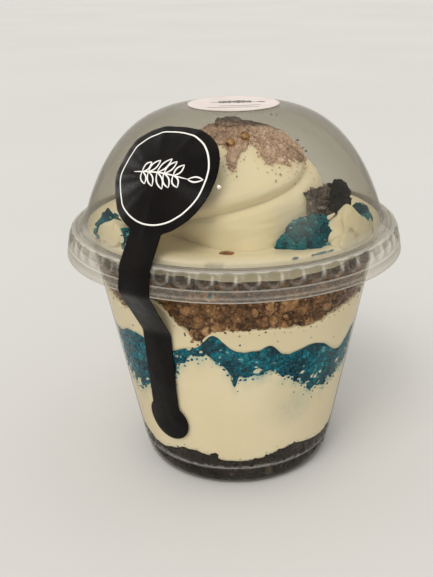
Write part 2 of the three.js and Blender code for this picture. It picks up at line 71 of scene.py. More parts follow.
SWIRL_AT, SWIRL_R, SWIRL_WIDEST_Z, SWIRL_TOP_Z = (-0.5, -7.0), 26.5, 82.0, 105.6
FOLD_START, FOLD_DEPTH = -100.0, 2.4
SWIRL_DENTS = [(-42, 28, -5.5), (15, 25, 1.3)]   # at its foot, as (angle, half width, height)
CREAM_Z = 76.4
SWIRL_BASE_Z = CREAM_Z - 0.4


def bell(apart, half_width):
    """1 where apart is 0, and falling off on both sides."""
    return math.exp(-((apart / half_width) ** 2))


def lumps(listed, angle):
    """Sum of smooth lumps (angle, half width, height) round a circle."""
    total = 0.0
    for at, width, height in listed:
        total += height * bell((angle - at + 180) % 360 - 180, width)
    return total


def cup_outside(z):
    if z < HEEL_Z:
        return FOOT_R + (HEEL_R - FOOT_R) * math.sin(math.acos(1 - max(z, 0) / HEEL_Z))
    return STEP_R + (NECK_R - STEP_R) * (z - STEP_Z) / (NECK_Z - STEP_Z)


def filling_r(z):
    """Radius that the filling reaches at height z, just inside the plastic of the wall."""
    if z > NECK_Z:
        share = min((z - NECK_Z) / (RIM_Z - NECK_Z), 1)
        return NECK_R - CUP_WALL + INTO_WALL + share * (MOUTH_R - NECK_R)
    return cup_outside(z) - CUP_WALL + INTO_WALL


def dome_r(z):
    share = min(max((z - DOME_Z) / DOME_HEIGHT, 0), 1)
    return DOME_R * (1 - share ** 1.2) ** (1 / 3.5)


# ---- meshes --------------------------------------------------------------------------------------

def polar(angle, r, z):
    a = math.radians(angle)
    return (r * math.sin(a), -r * math.cos(a), z)


def scatter(*numbers):
    """Repeatable number from 0 to 1."""
    s = math.sin(sum(n * k for n, k in zip(numbers, (12.9898, 78.233, 37.719, 9.151)))) * 43758.5453
    return s - math.floor(s)


def relief(point, size, octaves=3):
    """Smooth noise of about -1 to 1 whose lumps are size millimetres across."""
    return noise.fractal(Vector(point) / size, 1.0, 2.0, octaves)


def linked(name, mesh, tones=None, smooth=True):
    """An object of the mesh, in the scene. tones shade its points one by one."""
    if tones is not None:
        tone = mesh.attributes.new("tone", "FLOAT", "POINT")
        tone.data.foreach_set("value", np.asarray(tones, np.float32))
    if smooth:
        mesh.shade_smooth()
    made = bpy.data.objects.new(name, mesh)
    bpy.context.scene.collection.objects.link(made)
    return made


def piece_from(name, points, faces, tones=None):
    """An object from points in millimetres, its faces turned outwards."""
    mesh = bpy.data.meshes.new(name)
    mesh.from_pydata([Vector(p) * MM for p in points], [], faces)
    mesh.validate()
    shell = bmesh.new()
    shell.from_mesh(mesh)
    bmesh.ops.recalc_face_normals(shell, faces=shell.faces)
    shell.to_mesh(mesh)
    shell.free()
    return linked(name, mesh, tones)


def ball(detail):
    """A ball of radius 1 to be shaped."""
    shell = bmesh.new()
    bmesh.ops.create_icosphere(shell, subdivisions=detail, radius=1)
    return shell


def mesh_of(name, shell):
    """The mesh of a shaped ball in millimetres, which is used up."""
    bmesh.ops.scale(shell, vec=(MM, MM, MM), verts=shell.verts)
    mesh = bpy.data.meshes.new(name)
    shell.to_mesh(mesh)
    shell.free()
    return mesh


def turned(name, rows, columns, point, tone=False):
    """A body of revolution, closed at both ends, whose profile may change round it. point(row, angle)
    is a place in millimetres, and may give a tone after it."""
    points, tones = [], []
    for row in range(rows):
        for column in range(columns):
            angle = 360 * column / columns
            place = point(row, angle)
            points.append(place[:3])
            tones.append(place[3] if len(place) > 3 else 0.5)
    faces = []
    for row in range(rows - 1):
        for column in range(columns):
            a, b = row * columns + column, row * columns + (column + 1) % columns
            faces.append((a, b, b + columns, a + columns))
    for row in (0, rows - 1):
        first = row * columns
        points.append(tuple(np.mean(points[first:first + columns], axis=0)))
        tones.append(tones[first])
        for column in range(columns):
            faces.append((first + column, first + (column + 1) % columns, len(points) - 1))
    return piece_from(name, points, faces, tones if tone else None)


def eased(profile, reach=0.5, steps=3):
    """The profile with its corners rounded over up to reach millimetres."""
    made = []
    for i, corner in enumerate(profile):
        if i in (0, len(profile) - 1):
            made.append(corner)
            continue
        here = Vector(corner)
        before, after = Vector(profile[i - 1]), Vector(profile[i + 1])
        start = here + (before - here).normalized() * min(reach, (before - here).length * 0.45)
        end = here + (after - here).normalized() * min(reach, (after - here).length * 0.45)
        for k in range(steps + 1):
            t = k / steps
            made.append(tuple(start * (1 - t) ** 2 + here * 2 * t * (1 - t) + end * t ** 2))
    return made


def finish_piece(piece, material, slot, *nodes):
    if material is not None:
        piece.data.materials.clear()
        piece.data.materials.append(material)
    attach(piece, BODY)
    if nodes:
        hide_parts(*nodes)
    return piece


# ---- materials -----------------------------------------------------------------------------------

FACE_ON_MIRROR = 0.006       # how far clear plastic mirrors the room when seen straight on
# A pale white for whitening of the plastic and for the painted highlights on it.
PLASTIC_WHITE_AND_HIGHLIGHT = 0xEBE8E0
BLED_BLUE = 0x5E9C9A
FOG_BY_CHUNK = ((15.0, -35.8, 85.5), 9.0, 0.1)   # mist on the dome: its middle, reach and strength


def linear(colour):
    """sRGB hex to linear red, green, blue and 1."""
    parts = [(colour >> shift & 255) / 255 for shift in (16, 8, 0)]
    return [p / 12.92 if p <= 0.04045 else ((p + 0.055) / 1.055) ** 2.4 for p in parts] + [1.0]


def add(tree, kind, inputs=None, stops=None, **settings):
    """A node with its settings, its sockets' values and links, and a colour ramp's stops."""
    made = tree.nodes.new(kind)
    for name, value in settings.items():
        setattr(made, name, value)
    for name, value in (inputs or {}).items():
        if isinstance(value, bpy.types.NodeSocket):
            tree.links.new(value, made.inputs[name])
        else:
            made.inputs[name].default_value = value
    if stops:
        ramp = made.color_ramp
        while len(ramp.elements) < len(stops):
            ramp.elements.new(0.5)
        for element, (place, colour) in zip(ramp.elements, stops):
            element.position = place
            element.color = linear(colour) if isinstance(colour, int) else (colour, colour, colour, 1)
    return made


def material(name):
    """An empty material, its tree, and where on the object a point lies, in metres."""
    made = bpy.data.materials.new(name)
    made.use_nodes = True
    tree = made.node_tree
    tree.nodes.clear()
    return made, tree, add(tree, "ShaderNodeTexCoord").outputs["Object"]


def surface(tree, shader):
    add(tree, "ShaderNodeOutputMaterial", {"Surface": shader})


def principled(tree, inputs):
    surface(tree, add(tree, "ShaderNodeBsdfPrincipled", inputs).outputs[0])


def lumpy(tree, where, size, detail=3.0, roughness=0.5):
    """Noise of 0 to 1 whose lumps are size millimetres across."""
    return add(tree, "ShaderNodeTexNoise", {
        "Vector": where, "Scale": 1 / (size * MM), "Detail": detail, "Roughness": roughness,
    }).outputs["Fac"]


def tone_of(tree):
    return add(tree, "ShaderNodeAttribute", attribute_name="tone").outputs["Fac"]


def worked(tree, operation, *values, clamp=False):
    """What a piece of arithmetic on sockets and numbers gives."""
    terms = dict(enumerate(values))
    return add(tree, "ShaderNodeMath", terms, operation=operation, use_clamp=clamp).outputs[0]


def stretched(tree, value, start, end, low=0.0, high=1.0, ease="LINEAR"):
    """A value from the range start to end, taken into the range low to high."""
    return add(tree, "ShaderNodeMapRange", {
        "Value": value, "From Min": start, "From Max": end, "To Min": low, "To Max": high,
    }, interpolation_type=ease).outputs["Result"]


def spot(tree, where, at, reach, core, strength):
    """A soft spot round a place in millimetres: strength within core of it, and nothing past reach."""
    near = add(tree, "ShaderNodeVectorMath", {0: where, 1: [v * MM for v in at]}, operation="DISTANCE")
    return stretched(tree, near.outputs["Value"], reach * MM, core * MM, 0.0, strength, "SMOOTHSTEP")


def shaded(tree, level, stops):
    return add(tree, "ShaderNodeValToRGB", {"Fac": level}, stops=stops).outputs["Color"]


def blended(tree, share, first, second):
    mixed = add(tree, "ShaderNodeMix", {"Factor": share, "A": first, "B": second}, data_type="RGBA")
    return mixed.outputs["Result"]


def bumps(tree, height, strength, deep):
    """The surface's direction where its bumps are deep millimetres high."""
    return add(tree, "ShaderNodeBump", {
        "Height": height, "Strength": strength, "Distance": deep * MM,
    }).outputs[0]


def clear_plastic(name, tint, edge_tint, haze, haze_colour, patches=()):
    """Clear thin plastic: what shows is what lies behind, a faint mirror that grows at the edges, and
    a little mist. tint is what one face lets through, and edge_tint what it lets through seen edge on,
    where more plastic is in the way. haze is how solid its mist is. The tone of the mesh is the
    whitening of the plastic where it is bent or moulded sharply, together with painted highlights
    laid along its ledges, rims and rib edges."""
    made, tree, where = material(name)
    facing = add(tree, "ShaderNodeLayerWeight", {"Blend": 0.5}).outputs["Facing"]
    mirror = worked(tree, "MULTIPLY_ADD", worked(tree, "POWER", facing, 5.0), 0.5, FACE_ON_MIRROR)
    mist = stretched(tree, lumpy(tree, where, 26), 0.35, 0.65, *haze)
    for at, reach, strength in patches:
        patch = spot(tree, where, at, reach, reach * 0.25, strength)
        mist = worked(tree, "ADD", mist, patch, clamp=True)
    passed = blended(tree, worked(tree, "POWER", facing, 2.0), linear(tint), linear(edge_tint))
    sight = add(tree, "ShaderNodeBsdfTransparent", {"Color": passed}).outputs[0]
    fog = add(tree, "ShaderNodeBsdfDiffuse", {"Color": linear(haze_colour)}).outputs[0]
    # Diffuse white mixed in by the mesh's tone: moulded whitening, and painted highlights.
    whitening_and_highlight = add(tree, "ShaderNodeBsdfDiffuse", {"Color": linear(PLASTIC_WHITE_AND_HIGHLIGHT)}).outputs[0]
    waves = bumps(tree, lumpy(tree, where, 9, 2.0), 0.25, 0.25)
    gloss = add(tree, "ShaderNodeBsdfGlossy", {"Roughness": 0.06, "Normal": waves}).outputs[0]
    body = add(tree, "ShaderNodeMixShader", {0: mist, 1: sight, 2: fog}).outputs[0]
    body = add(tree, "ShaderNodeMixShader", {0: tone_of(tree), 1: body, 2: whitening_and_highlight}).outputs[0]
    surface(tree, add(tree, "ShaderNodeMixShader", {0: mirror, 1: body, 2: gloss}).outputs[0])
    return made


def crumbs(name, colours, grain, rough=0.9, shine=0.25, depth=0.25, spread=0.5):
    """Baked crumb: each crumb has its own shade, by its tone, with darker pores and paler grit.
    On crumbly sides the tone also holds painted shade in the gaps between crumbs.
    """
    made, tree, where = material(name)
    grit, mottle = 1.5, 0.7      # how far fine grit and broad mottling move the shade
    fine = lumpy(tree, where, grain, 4.0, 0.65)
    shade = worked(tree, "MULTIPLY_ADD", tone_of(tree), spread, worked(tree, "MULTIPLY", fine, grit))
    shade = worked(tree, "MULTIPLY_ADD", lumpy(tree, where, 9, 2.0), mottle, shade)
    middle = 0.4 * spread + 0.5 * grit + 0.5 * mottle
    reach = 0.2 + 0.45 * spread
    principled(tree, {
        "Base Color": shaded(tree, stretched(tree, shade, middle - reach, middle + reach), colours),
        "Roughness": rough, "Specular IOR Level": shine, "Normal": bumps(tree, fine, 0.8, depth),
    })
    return made


def cream(name, colours, rough, ripple, coat=0.0, stains=()):
    """Whipped cheesecake cream: pale, dense and slightly see-through at its edges, with a satin shine
    and faint streaks. stains are (place, reach, strength, colour). The tone of the mesh is how far
    the blue of the cake has bled into it."""
    made, tree, where = material(name)
    fine = lumpy(tree, where, 2.2)
    colour = shaded(tree, lumpy(tree, where, 22), colours)
    for at, reach, strength, stain in stains:
        share = worked(tree, "MULTIPLY", spot(tree, where, at, reach, 0.0, strength), fine)
        colour = blended(tree, share, colour, linear(stain))
    principled(tree, {
        "Base Color": blended(tree, tone_of(tree), colour, linear(BLED_BLUE)), "Roughness": rough,
        "Specular IOR Level": 0.35, "Coat Weight": coat, "Coat Roughness": 0.12,
        "Subsurface Weight": 0.25, "Subsurface Radius": (0.004, 0.0025, 0.0012),
        "Subsurface Scale": 0.6, "Normal": bumps(tree, fine, 0.5, ripple),
    })
    return made


def paper(name, colours, rough, coat, fibre, shine):
    """Label paper: smooth and faintly fibrous, with a thin satin varnish. The tone of the mesh raises its
    shine in places as a painted sheen, where a crease would catch the light."""
    made, tree, where = material(name)
    grain = lumpy(tree, where, 0.8)
    principled(tree, {
        "Base Color": shaded(tree, lumpy(tree, where, 9), colours), "Roughness": rough,
        "Specular IOR Level": worked(tree, "MULTIPLY_ADD", tone_of(tree), grain, shine),
        "Coat Weight": coat, "Coat Roughness": 0.25, "Normal": bumps(tree, grain, 0.4, fibre),
    })
    return made


def bronze_sugar():
    """Sugar pearl with an edible bronze lustre: a polished golden metal look over a pitted bead."""
    made, tree, where = material("bronze_sugar")
    pits = lumpy(tree, where, 0.9)
    principled(tree, {
        "Base Color": shaded(tree, pits, [(0.3, 0xA06C3A), (0.7, 0xE6C08C)]), "Metallic": 0.95,
        "Roughness": 0.25, "Normal": bumps(tree, pits, 0.3, 0.1),
    })
    return made


def caramel():
    """Caramel sauce: a clear brown syrup, darker and paler in pools."""
    made, tree, where = material("caramel_sauce")
    pools = lumpy(tree, where, 1.6, 2.0)
    principled(tree, {
        "Base Color": shaded(tree, pools, [(0.35, 0x6E3608), (0.65, 0xA5651F)]), "Roughness": 0.22,
        "Coat Weight": 0.5, "Coat Roughness": 0.1,
    })
    return made


def printed_ink(name, colour):
    """Screen-printed ink: a thin matt film that follows the paper, thinner and darker in places."""
    made, tree, where = material(name)
    thin = [channel * 0.8 for channel in linear(colour)[:3]] + [1.0]
    worn = blended(tree, lumpy(tree, where, 1.2), thin, linear(colour))
    principled(tree, {"Base Color": worn, "Roughness": 0.5})
    return made


CLEAR_CUP = clear_plastic("moulded_clear_polystyrene", 0xFBFBFA, 0xE6E3DC, (0.002, 0.01), 0xD8D4C8)
CLEAR_LID = clear_plastic("formed_clear_pet", 0xF1F0EC, 0xD0CCC2, (0.005, 0.02), 0xA4A094, [FOG_BY_CHUNK])
BASE_CRUMB = crumbs("damp_dark_crumb", [(0.0, 0x0F0B09), (0.5, 0x27211C), (1.0, 0x564B41)], 0.8,
                    spread=0.6)
BLUE_CRUMB = crumbs("moist_blue_cake", [
    (0.0, 0x001F2A), (0.25, 0x00404F), (0.5, 0x006374), (0.78, 0x128593), (1.0, 0xD6D2B4),
], 0.7, shine=0.12, spread=0.6, depth=0.35)
BISCUIT_CRUMB = crumbs("coarse_biscuit_crumb", [
    (0.0, 0x2E1C0D), (0.35, 0x74502F), (0.65, 0xA67C52), (1.0, 0xD4AE82),
], 0.9, spread=0.95, depth=0.4)
DUST = crumbs("fine_biscuit_dust", [
    (0.0, 0x846B5A), (0.35, 0xC0A390), (0.65, 0xE0C4B0), (1.0, 0xF6E6D6),
], 0.4, spread=0.6)
COOKIE = crumbs("dark_cookie_break", [(0.0, 0x040302), (0.5, 0x14100D), (1.0, 0x40362E)], 0.7,
                spread=0.9, shine=0.5)
GREY_BISCUIT = crumbs("soft_grey_biscuit", [(0.0, 0x3A332E), (0.5, 0x736862), (1.0, 0xA89C92)], 0.9,
                      spread=0.9)
FILLING = cream("set_cheesecake_cream", [(0.3, 0xDCCDA8), (0.7, 0xE2D6B6)], 0.5, 0.08, stains=[
    (polar(30, filling_r(27), 27), 9, 0.5, 0x8FA8A4),
    (polar(24, filling_r(29), 29), 13, 0.35, 0xA6A890),
])
SOFT_CREAM = cream("piped_soft_cream", [(0.3, 0xF5E7C4), (0.7, 0xFBF1D8)], 0.36, 0.1, coat=0.35)
SEAL_PAPER = paper("black_label_paper", [(0.3, 0x060403), (0.7, 0x0F0B09)], 0.36, 0.0, 0.05, 0.07)
LABEL_PAPER = paper("pale_label_paper", [(0.3, 0xC4B8B2), (0.6, 0xCEC4BF), (0.8, 0xD0B0AC)], 0.5, 0.1,
                    0.04, 0.3)
WHITE_INK = printed_ink("white_ink", 0xF4F2EC)
DARK_INK = printed_ink("dark_ink", 0x4A4446)
PEARL = bronze_sugar()
CARAMEL = caramel()


# ---- scattered crumbs ----------------------------------------------------------------------------

CRUMBS_PER_M2 = 4e6          # more than fit, so that only their spacing sets how many there are


def crumb_shapes(name, count, detail, sink, rough=0.3):
    """A collection of rough crumbs of radius 1 mm, each sunk into what it will lie on."""
    shelf = bpy.data.collections.new(name)
    for i in range(count):
        shell = ball(detail)
        for vertex in shell.verts:
            v = vertex.co.copy()
            blocky = 0.6 + 0.4 / max(abs(v.x), abs(v.y), abs(v.z)) ** 0.7
            vertex.co = v * blocky * (1 + rough * relief(v + Vector((7.1 * i, 0, 0)), 0.9))
            vertex.co.z -= sink
        label = f"{name}_{i}"
        shelf.objects.link(bpy.data.objects.new(label, mesh_of(label, shell)))
    return shelf


def scatter_tree():
    """Crumbs of random size, turn and tone on points spread evenly over a surface."""
    tree = bpy.data.node_groups.new("crumbs_on_a_surface", "GeometryNodeTree")
    for label, kind in (("Surface", "Geometry"), ("Crumbs", "Collection"), ("Spacing", "Float"),
                        ("Least radius", "Float"), ("Most radius", "Float"), ("Seed", "Int"),
                        ("Finish", "Material")):
        tree.interface.new_socket(label, in_out="INPUT", socket_type="NodeSocket" + kind)
    tree.interface.new_socket("Crumbs", in_out="OUTPUT", socket_type="NodeSocketGeometry")
    given = add(tree, "NodeGroupInput").outputs
    spots = add(tree, "GeometryNodeDistributePointsOnFaces", {
        "Mesh": given["Surface"], "Distance Min": given["Spacing"], "Density Max": CRUMBS_PER_M2,
        "Seed": given["Seed"],
    }, distribute_method="POISSON").outputs
    shelf = add(tree, "GeometryNodeCollectionInfo", {
        "Collection": given[1], "Separate Children": True, "Reset Children": True,
    }).outputs[0]
    lean = add(tree, "FunctionNodeRandomValue", {
        0: (-0.35, -0.35, 0), 1: (0.35, 0.35, math.tau), "Seed": given["Seed"],
    }, data_type="FLOAT_VECTOR").outputs[0]
    turn = add(tree, "FunctionNodeEulerToRotation", {0: lean}).outputs[0]
    facing = add(tree, "FunctionNodeRotateRotation", {
        "Rotation": spots["Rotation"], "Rotate By": turn,
    }, rotation_space="LOCAL").outputs[0]
    draw = add(tree, "FunctionNodeRandomValue", {2: 0.0, 3: 1.0, "Seed": 11}, data_type="FLOAT").outputs[1]
    mostly_small = worked(tree, "POWER", draw, 2.0)
    radius = stretched(tree, mostly_small, 0.0, 1.0, given["Least radius"], given["Most radius"])
    shape = add(tree, "FunctionNodeRandomValue", {
        0: (0.75, 0.75, 0.75), 1: (1.3, 1.15, 1.1), "Seed": 5,
    }, data_type="FLOAT_VECTOR").outputs[0]
    size = add(tree, "ShaderNodeVectorMath", {0: shape, "Scale": radius}, operation="SCALE").outputs[0]
    placed = add(tree, "GeometryNodeInstanceOnPoints", {
        "Points": spots["Points"], "Instance": shelf, "Pick Instance": True, "Rotation": facing,
        "Scale": size,
    }).outputs[0]
    tone = add(tree, "FunctionNodeRandomValue", {2: -0.1, 3: 0.8, "Seed": 23}, data_type="FLOAT").outputs[1]
    toned = add(tree, "GeometryNodeStoreNamedAttribute", {
        "Geometry": placed, "Name": "tone", "Value": tone,
    }, data_type="FLOAT", domain="INSTANCE").outputs[0]
    real = add(tree, "GeometryNodeRealizeInstances", {"Geometry": toned}).outputs[0]
    done = add(tree, "GeometryNodeSetMaterial", {"Geometry": real, "Material": given["Finish"]}).outputs[0]
    add(tree, "NodeGroupOutput", {0: done})
    return tree


SCATTER = scatter_tree()
WALL_CRUMBS = crumb_shapes("wall_crumb", 6, 3, 0.45)
WALL_GRIT = crumb_shapes("wall_grit", 4, 1, 0.4)
LOOSE_CRUMBS = crumb_shapes("loose_crumb", 5, 2, 0.15)
LOOSE_GRIT = crumb_shapes("loose_grit", 4, 1, 0.2)


def scattered(surface_piece, shapes, spacing, radii, seed, finish):
    """The mesh of crumbs on a surface, which is used up."""
    modifier = surface_piece.modifiers.new("crumbs", "NODES")
    modifier.node_group = SCATTER
    values = {"Spacing": spacing * MM, "Least radius": radii[0], "Most radius": radii[1],
              "Seed": seed, "Finish": finish}
    for item in SCATTER.interface.items_tree:
        if item.in_out == "INPUT" and item.name in values:
            modifier[item.identifier] = values[item.name]
        elif item.in_out == "INPUT" and item.name == "Crumbs":
            modifier[item.identifier] = shapes
    ready = surface_piece.evaluated_get(bpy.context.evaluated_depsgraph_get())
    mesh = bpy.data.meshes.new_from_object(ready)
    bpy.data.objects.remove(surface_piece)
    return mesh


def crumb_piece(name, meshes, keep_in, finish):
    """One piece from several lots of crumbs, each point moved to where keep_in lets it be."""
    joined = bmesh.new()
    for mesh in meshes:
        joined.from_mesh(mesh)
    for vertex in joined.verts:
        vertex.co = Vector(keep_in(*(vertex.co / MM))) * MM
    mesh = bpy.data.meshes.new(name)
    joined.to_mesh(mesh)
    joined.free()
    mesh.materials.clear()
    mesh.materials.append(finish)
    return linked(name, mesh)


def open_strip(point, low, high, start=0, end=360, columns=180, levels=2):
    """An open strip of point(angle, z) between two heights, for crumbs to lie on."""
    points, faces = [], []
    for column in range(columns + 1):
        angle = start + (end - start) * column / columns
        for k in range(levels):
            z = low(angle) + (high(angle) - low(angle)) * k / (levels - 1)
            points.append(Vector(point(angle, z)) * MM)
    for column in range(columns):
        a, b = levels * column, levels * (column + 1)
        faces += [(a + k, b + k, b + k + 1, a + k + 1) for k in range(levels - 1)]
    mesh = bpy.data.meshes.new("strip")
    mesh.from_pydata(points, [], faces)
    return linked("strip", mesh)


# ---- cup and lid ---------------------------------------------------------------------------------

CURL_Z = 71.9                # lower edge of the cup's rolled rim
RING_PROUD = 0.1             # how far the stacking ring stands out from the wall
CUP_COLUMNS = 192


def clear_cup():
    heel = [(cup_outside(z), z) for z in (0.05, 0.4, 1.2, 2.4, 3.8, 5.2, 6.2)]
    inner = [(cup_outside(z) - CUP_WALL, z) for z in (5.2, 3.8, 2.4, 1.4)]
    profile = [
        (0.6, FLOOR_RISE), (FLOOR_EDGE_R - 1, FLOOR_RISE), (FLOOR_EDGE_R, 0), (FOOT_R - 0.4, 0), *heel,
        (HEEL_R + 0.1, HEEL_Z + 0.1), (STEP_R + RING_PROUD, STEP_Z), (STEP_R + RING_PROUD, STEP_Z + 0.5),
        (cup_outside(NECK_Z - 0.6), NECK_Z - 0.6), (MOUTH_R + 0.2, RIM_Z - 0.9),
        (RIM_R - CUP_WALL - 0.3, RIM_Z - CUP_WALL), (RIM_R - CUP_WALL, CURL_Z), (RIM_R, CURL_Z),
        (RIM_R, RIM_Z - 0.8), (RIM_R - 0.7, RIM_Z), (MOUTH_R, RIM_Z), (NECK_R - CUP_WALL, NECK_Z),
        (STEP_R - CUP_WALL, STEP_Z + 0.4), *inner, (FOOT_R - 0.8, CUP_WALL),
        (FLOOR_EDGE_R + 1.5, CUP_WALL), (FLOOR_EDGE_R - 0.5, FLOOR_RISE + CUP_WALL),
        (0.6, FLOOR_RISE + CUP_WALL),
    ]
    rounded = eased(profile, 0.35)

    def place(row, angle):
        r, z = rounded[row]
        # The stacking ring's line is partly moulded whitening and partly a painted highlight; the foot
        # whitens a little at its lower edge.
        ring = 0.22 * bell(z - STEP_Z - 0.2, 0.3)
        foot = 0.06 * math.exp(-z / 0.6)
        return (*polar(angle, r, z), ring + foot)

    made = turned("clear_cup", len(rounded), CUP_COLUMNS, place, tone=True)
    return finish_piece(made, CLEAR_CUP, "clear_cup", "cup")


DOME_ROWS, SKIRT_ROWS, RIB_COLUMNS = 22, 16, 12
RIB_TOP_Z, RIB_DEEP = 74.5, 2.9                   # top and height of the window pressed in at a rib
RIB_HALF, NICK_HIGHLIGHT_AT = 0.37, 1 / 3                   # its half width, and where a painted highlight runs down its edge, in pitches


def lid_profile(apart):
    """The lid's outside from the middle of its top to the lip of its skirt as (r, z, whitening), where the
    place is apart, in pitches, from the middle of a snap rib. The whitening is partly moulded and
    partly painted highlights along the dome's foot, the ledge, the rib windows and the lip."""
    top = [(0.6, LID_TOP_Z, 0), (PLATEAU_R - 3, LID_TOP_Z, 0), (PLATEAU_R - 0.8, LID_TOP_Z - 0.03, 0.03)]
    dome = []
    for k in range(DOME_ROWS):
        share = 1 - ((k + 1) / DOME_ROWS) ** 1.7
        z = DOME_Z + (LID_TOP_Z - 0.25 - DOME_Z) * share
        dome.append((dome_r(z), z, 0.12 * math.exp((DOME_Z - z) / 0.7)))
    ledge = [
        (DOME_R + 0.35, LEDGE_Z - 0.15, 0.1), (DOME_R + 0.75, LEDGE_Z - 0.5, 0.04),
        (DOME_R + 1.15, LEDGE_Z - 0.5, 0.04), (DOME_R + 1.5, LEDGE_Z - 0.05, 0.18),
        (DOME_R + 1.9, LEDGE_Z, 0.1),
        (DOME_R + 2.2, LEDGE_Z - 0.35, 0.04), (DOME_R + 2.45, LEDGE_Z - 0.35, 0.06),
        (DOME_R + 2.7, LEDGE_Z - 0.05, 0.2), (LEDGE_R + 0.25, LEDGE_Z - 0.15, 0.12),
        (LEDGE_R + 0.7, LEDGE_Z - 0.6, 0.28),
    ]
    skirt = []
    for k in range(SKIRT_ROWS + 1):
        z = LEDGE_Z - 0.9 - (LEDGE_Z - 0.9 - SHOULDER_Z + 3.1) * k / SKIRT_ROWS
        r = SHOULDER_R + 0.45 - 0.9 * ((z - SHOULDER_Z + 3.1) / 4.0) ** 3
        rise = (RIB_TOP_Z - z) / (RIB_DEEP if z < RIB_TOP_Z else 0.7)
        edge = math.hypot(apart / RIB_HALF, rise)
        press = min(max((1.15 - edge) / 0.3, 0), 1)
        # Round each window the plastic whitens a little where it is moulded; across the window tops and
        # down one edge of each window lie painted highlights.
        crown_highlight = min(max((z - RIB_TOP_Z + 1.1) / 1.1, 0), 1)
        nick_highlight = bell(apart - NICK_HIGHLIGHT_AT, 0.06) * bell(z - RIB_TOP_Z + 1, 0.9)
        frost_and_highlight = 0.015 + (0.05 + 0.16 * crown_highlight) * bell(edge - 1, 0.12) + 0.2 * nick_highlight
        skirt.append((r - SNAP_DEPTH * press, z, frost_and_highlight))
    lip = [
        (SHOULDER_R + 0.6, SHOULDER_Z - 3.25, 0.22), (SHOULDER_R + 0.85, SHOULDER_Z - 3.4, 0.08),
        (SHOULDER_R + 0.85, SHOULDER_Z - 3.7, 0.06), (LID_R - 0.5, SKIRT_Z + 1.6, 0.05),
        (LID_R - 0.4, SKIRT_Z + 1.1, 0.12), (LID_R - 0.15, SKIRT_Z + 0.8, 0.04),
        (LID_R, SKIRT_Z + 0.5, 0.04), (LID_R, SKIRT_Z + 0.1, 0.35),
    ]
    return top + dome + ledge + skirt + lip


def clear_lid():
    """The outside, and the same profile a wall's thickness inwards."""
    walls = []
    for column in range(RIB_COLUMNS):
        outside = lid_profile((column / RIB_COLUMNS + 0.5) % 1 - 0.5)
        inside = []
        for i, (r, z, frost_and_highlight) in enumerate(outside):
            ahead = outside[min(i + 1, len(outside) - 1)]
            behind = outside[max(i - 1, 0)]
            across = Vector((behind[1] - ahead[1], ahead[0] - behind[0])).normalized() * -LID_WALL
            inside.append((r + across.x if i else r, z + across.y, frost_and_highlight))
        walls.append(outside + inside[::-1])

    def place(row, angle):
        column = round(angle / 360 * SNAP_COUNT * RIB_COLUMNS) % RIB_COLUMNS
        r, z, frost_and_highlight = walls[column][row]
        return (*polar(angle + SNAP_PHASE, r, z), frost_and_highlight)

    made = turned("clear_lid", len(walls[0]), SNAP_COUNT * RIB_COLUMNS, place, tone=True)
    return finish_piece(made, CLEAR_LID, "clear_lid", "lid")


# ---- layers --------------------------------------------------------------------------------------

# The edge between two layers at the wall: its height, and its lumps as (angle, half width, height).
BASE_TOP = (11, [(-49, 9, -1.5), (-26, 12, 1.5), (33, 12, 2), (0, 14, -1.3), (90, 16, 1.4), (120, 14, -1.2),
                 (180, 14, -0.8), (210, 14, 1.9), (270, 16, 0.9)])
BLUE_BOTTOM = (34, [(-1, 1.6, -5.5), (-14, 14, 9.9), (-22, 8, 3.8), (-8, 8, 2.5), (14, 16, 6.6),
                    (-58, 14, -5.4), (45, 14, -3.3), (110, 16, 2.2), (130, 14, -3.4), (170, 16, 3.5),
                    (210, 14, 2.6), (250, 15, 1.4)])
BLUE_TOP = (46, [(-9, 6, 6.7), (-48, 14, 3.8), (-20, 8, 3), (5, 12, 2.9), (14, 4, 2.6), (34, 10, 2),
                 (54, 9, -4.1), (110, 14, 2.9), (170, 16, 3.9), (210, 12, 2.3), (250, 12, 1.8)])
BISCUIT_BOTTOM = (57, [(-34, 8, 6.3), (-15, 5, -4.6), (0, 16, -1.5), (30, 14, -2.7), (-22, 5, -1.2),
                       (110, 12, -2), (130, 12, 2.1), (190, 12, -2.3), (230, 12, -1.9), (255, 14, 2),
                       (285, 14, 3.2)])
BISCUIT_TOP = (71, [(-20, 12, 0.8), (15, 14, -0.7), (60, 16, 0.6), (140, 18, -0.8), (230, 20, 0.7)])


def boundary(shape, angle, ragged=0.0, size=3.0, seed=0):
    level, listed = shape
    z = level + lumps(listed, angle)
    if ragged:
        z += ragged * relief(polar(angle, filling_r(z), seed * 17.0), size, 4)
    return z


def base_top(angle):
    return boundary(BASE_TOP, angle, 0.5, 3, 1)


def blue_bottom(angle):
    return min(boundary(BLUE_BOTTOM, angle, 1.8, 2.4, 2), blue_top(angle) - 0.3)


def blue_top(angle):
    return boundary(BLUE_TOP, angle, 0.5, 4, 3)


def biscuit_bottom(angle):
    return max(boundary(BISCUIT_BOTTOM, angle, 0.8, 2.6, 4), blue_top(angle) + 0.6)


def biscuit_top(angle):
    return boundary(BISCUIT_TOP, angle, 0.6, 3, 5)


def crumbly(point, cell, depth):
    """How far back a crumbly side lies at a point, and the tone of the crumb there, which carries painted
    shade in the gaps between crumbs."""
    distances, centres = noise.voronoi(Vector(point) / cell)
    gap = 1 - min((distances[1] - distances[0]) / 0.4, 1)
    lift = 0.6 * scatter(*(centres[0] * 1.7))
    # The tone drops in the gaps: painted shade where the side lies back between crumbs.
    return depth * (gap ** 1.5 + lift) / 1.6, scatter(*centres[0]) * (1 - 0.6 * gap) - 0.25 * gap


INNER_SHARES = (0.1, 0.4, 0.7, 0.9)   # of the radius, where a layer has rows inside the food
INNER_TONE = 0.4


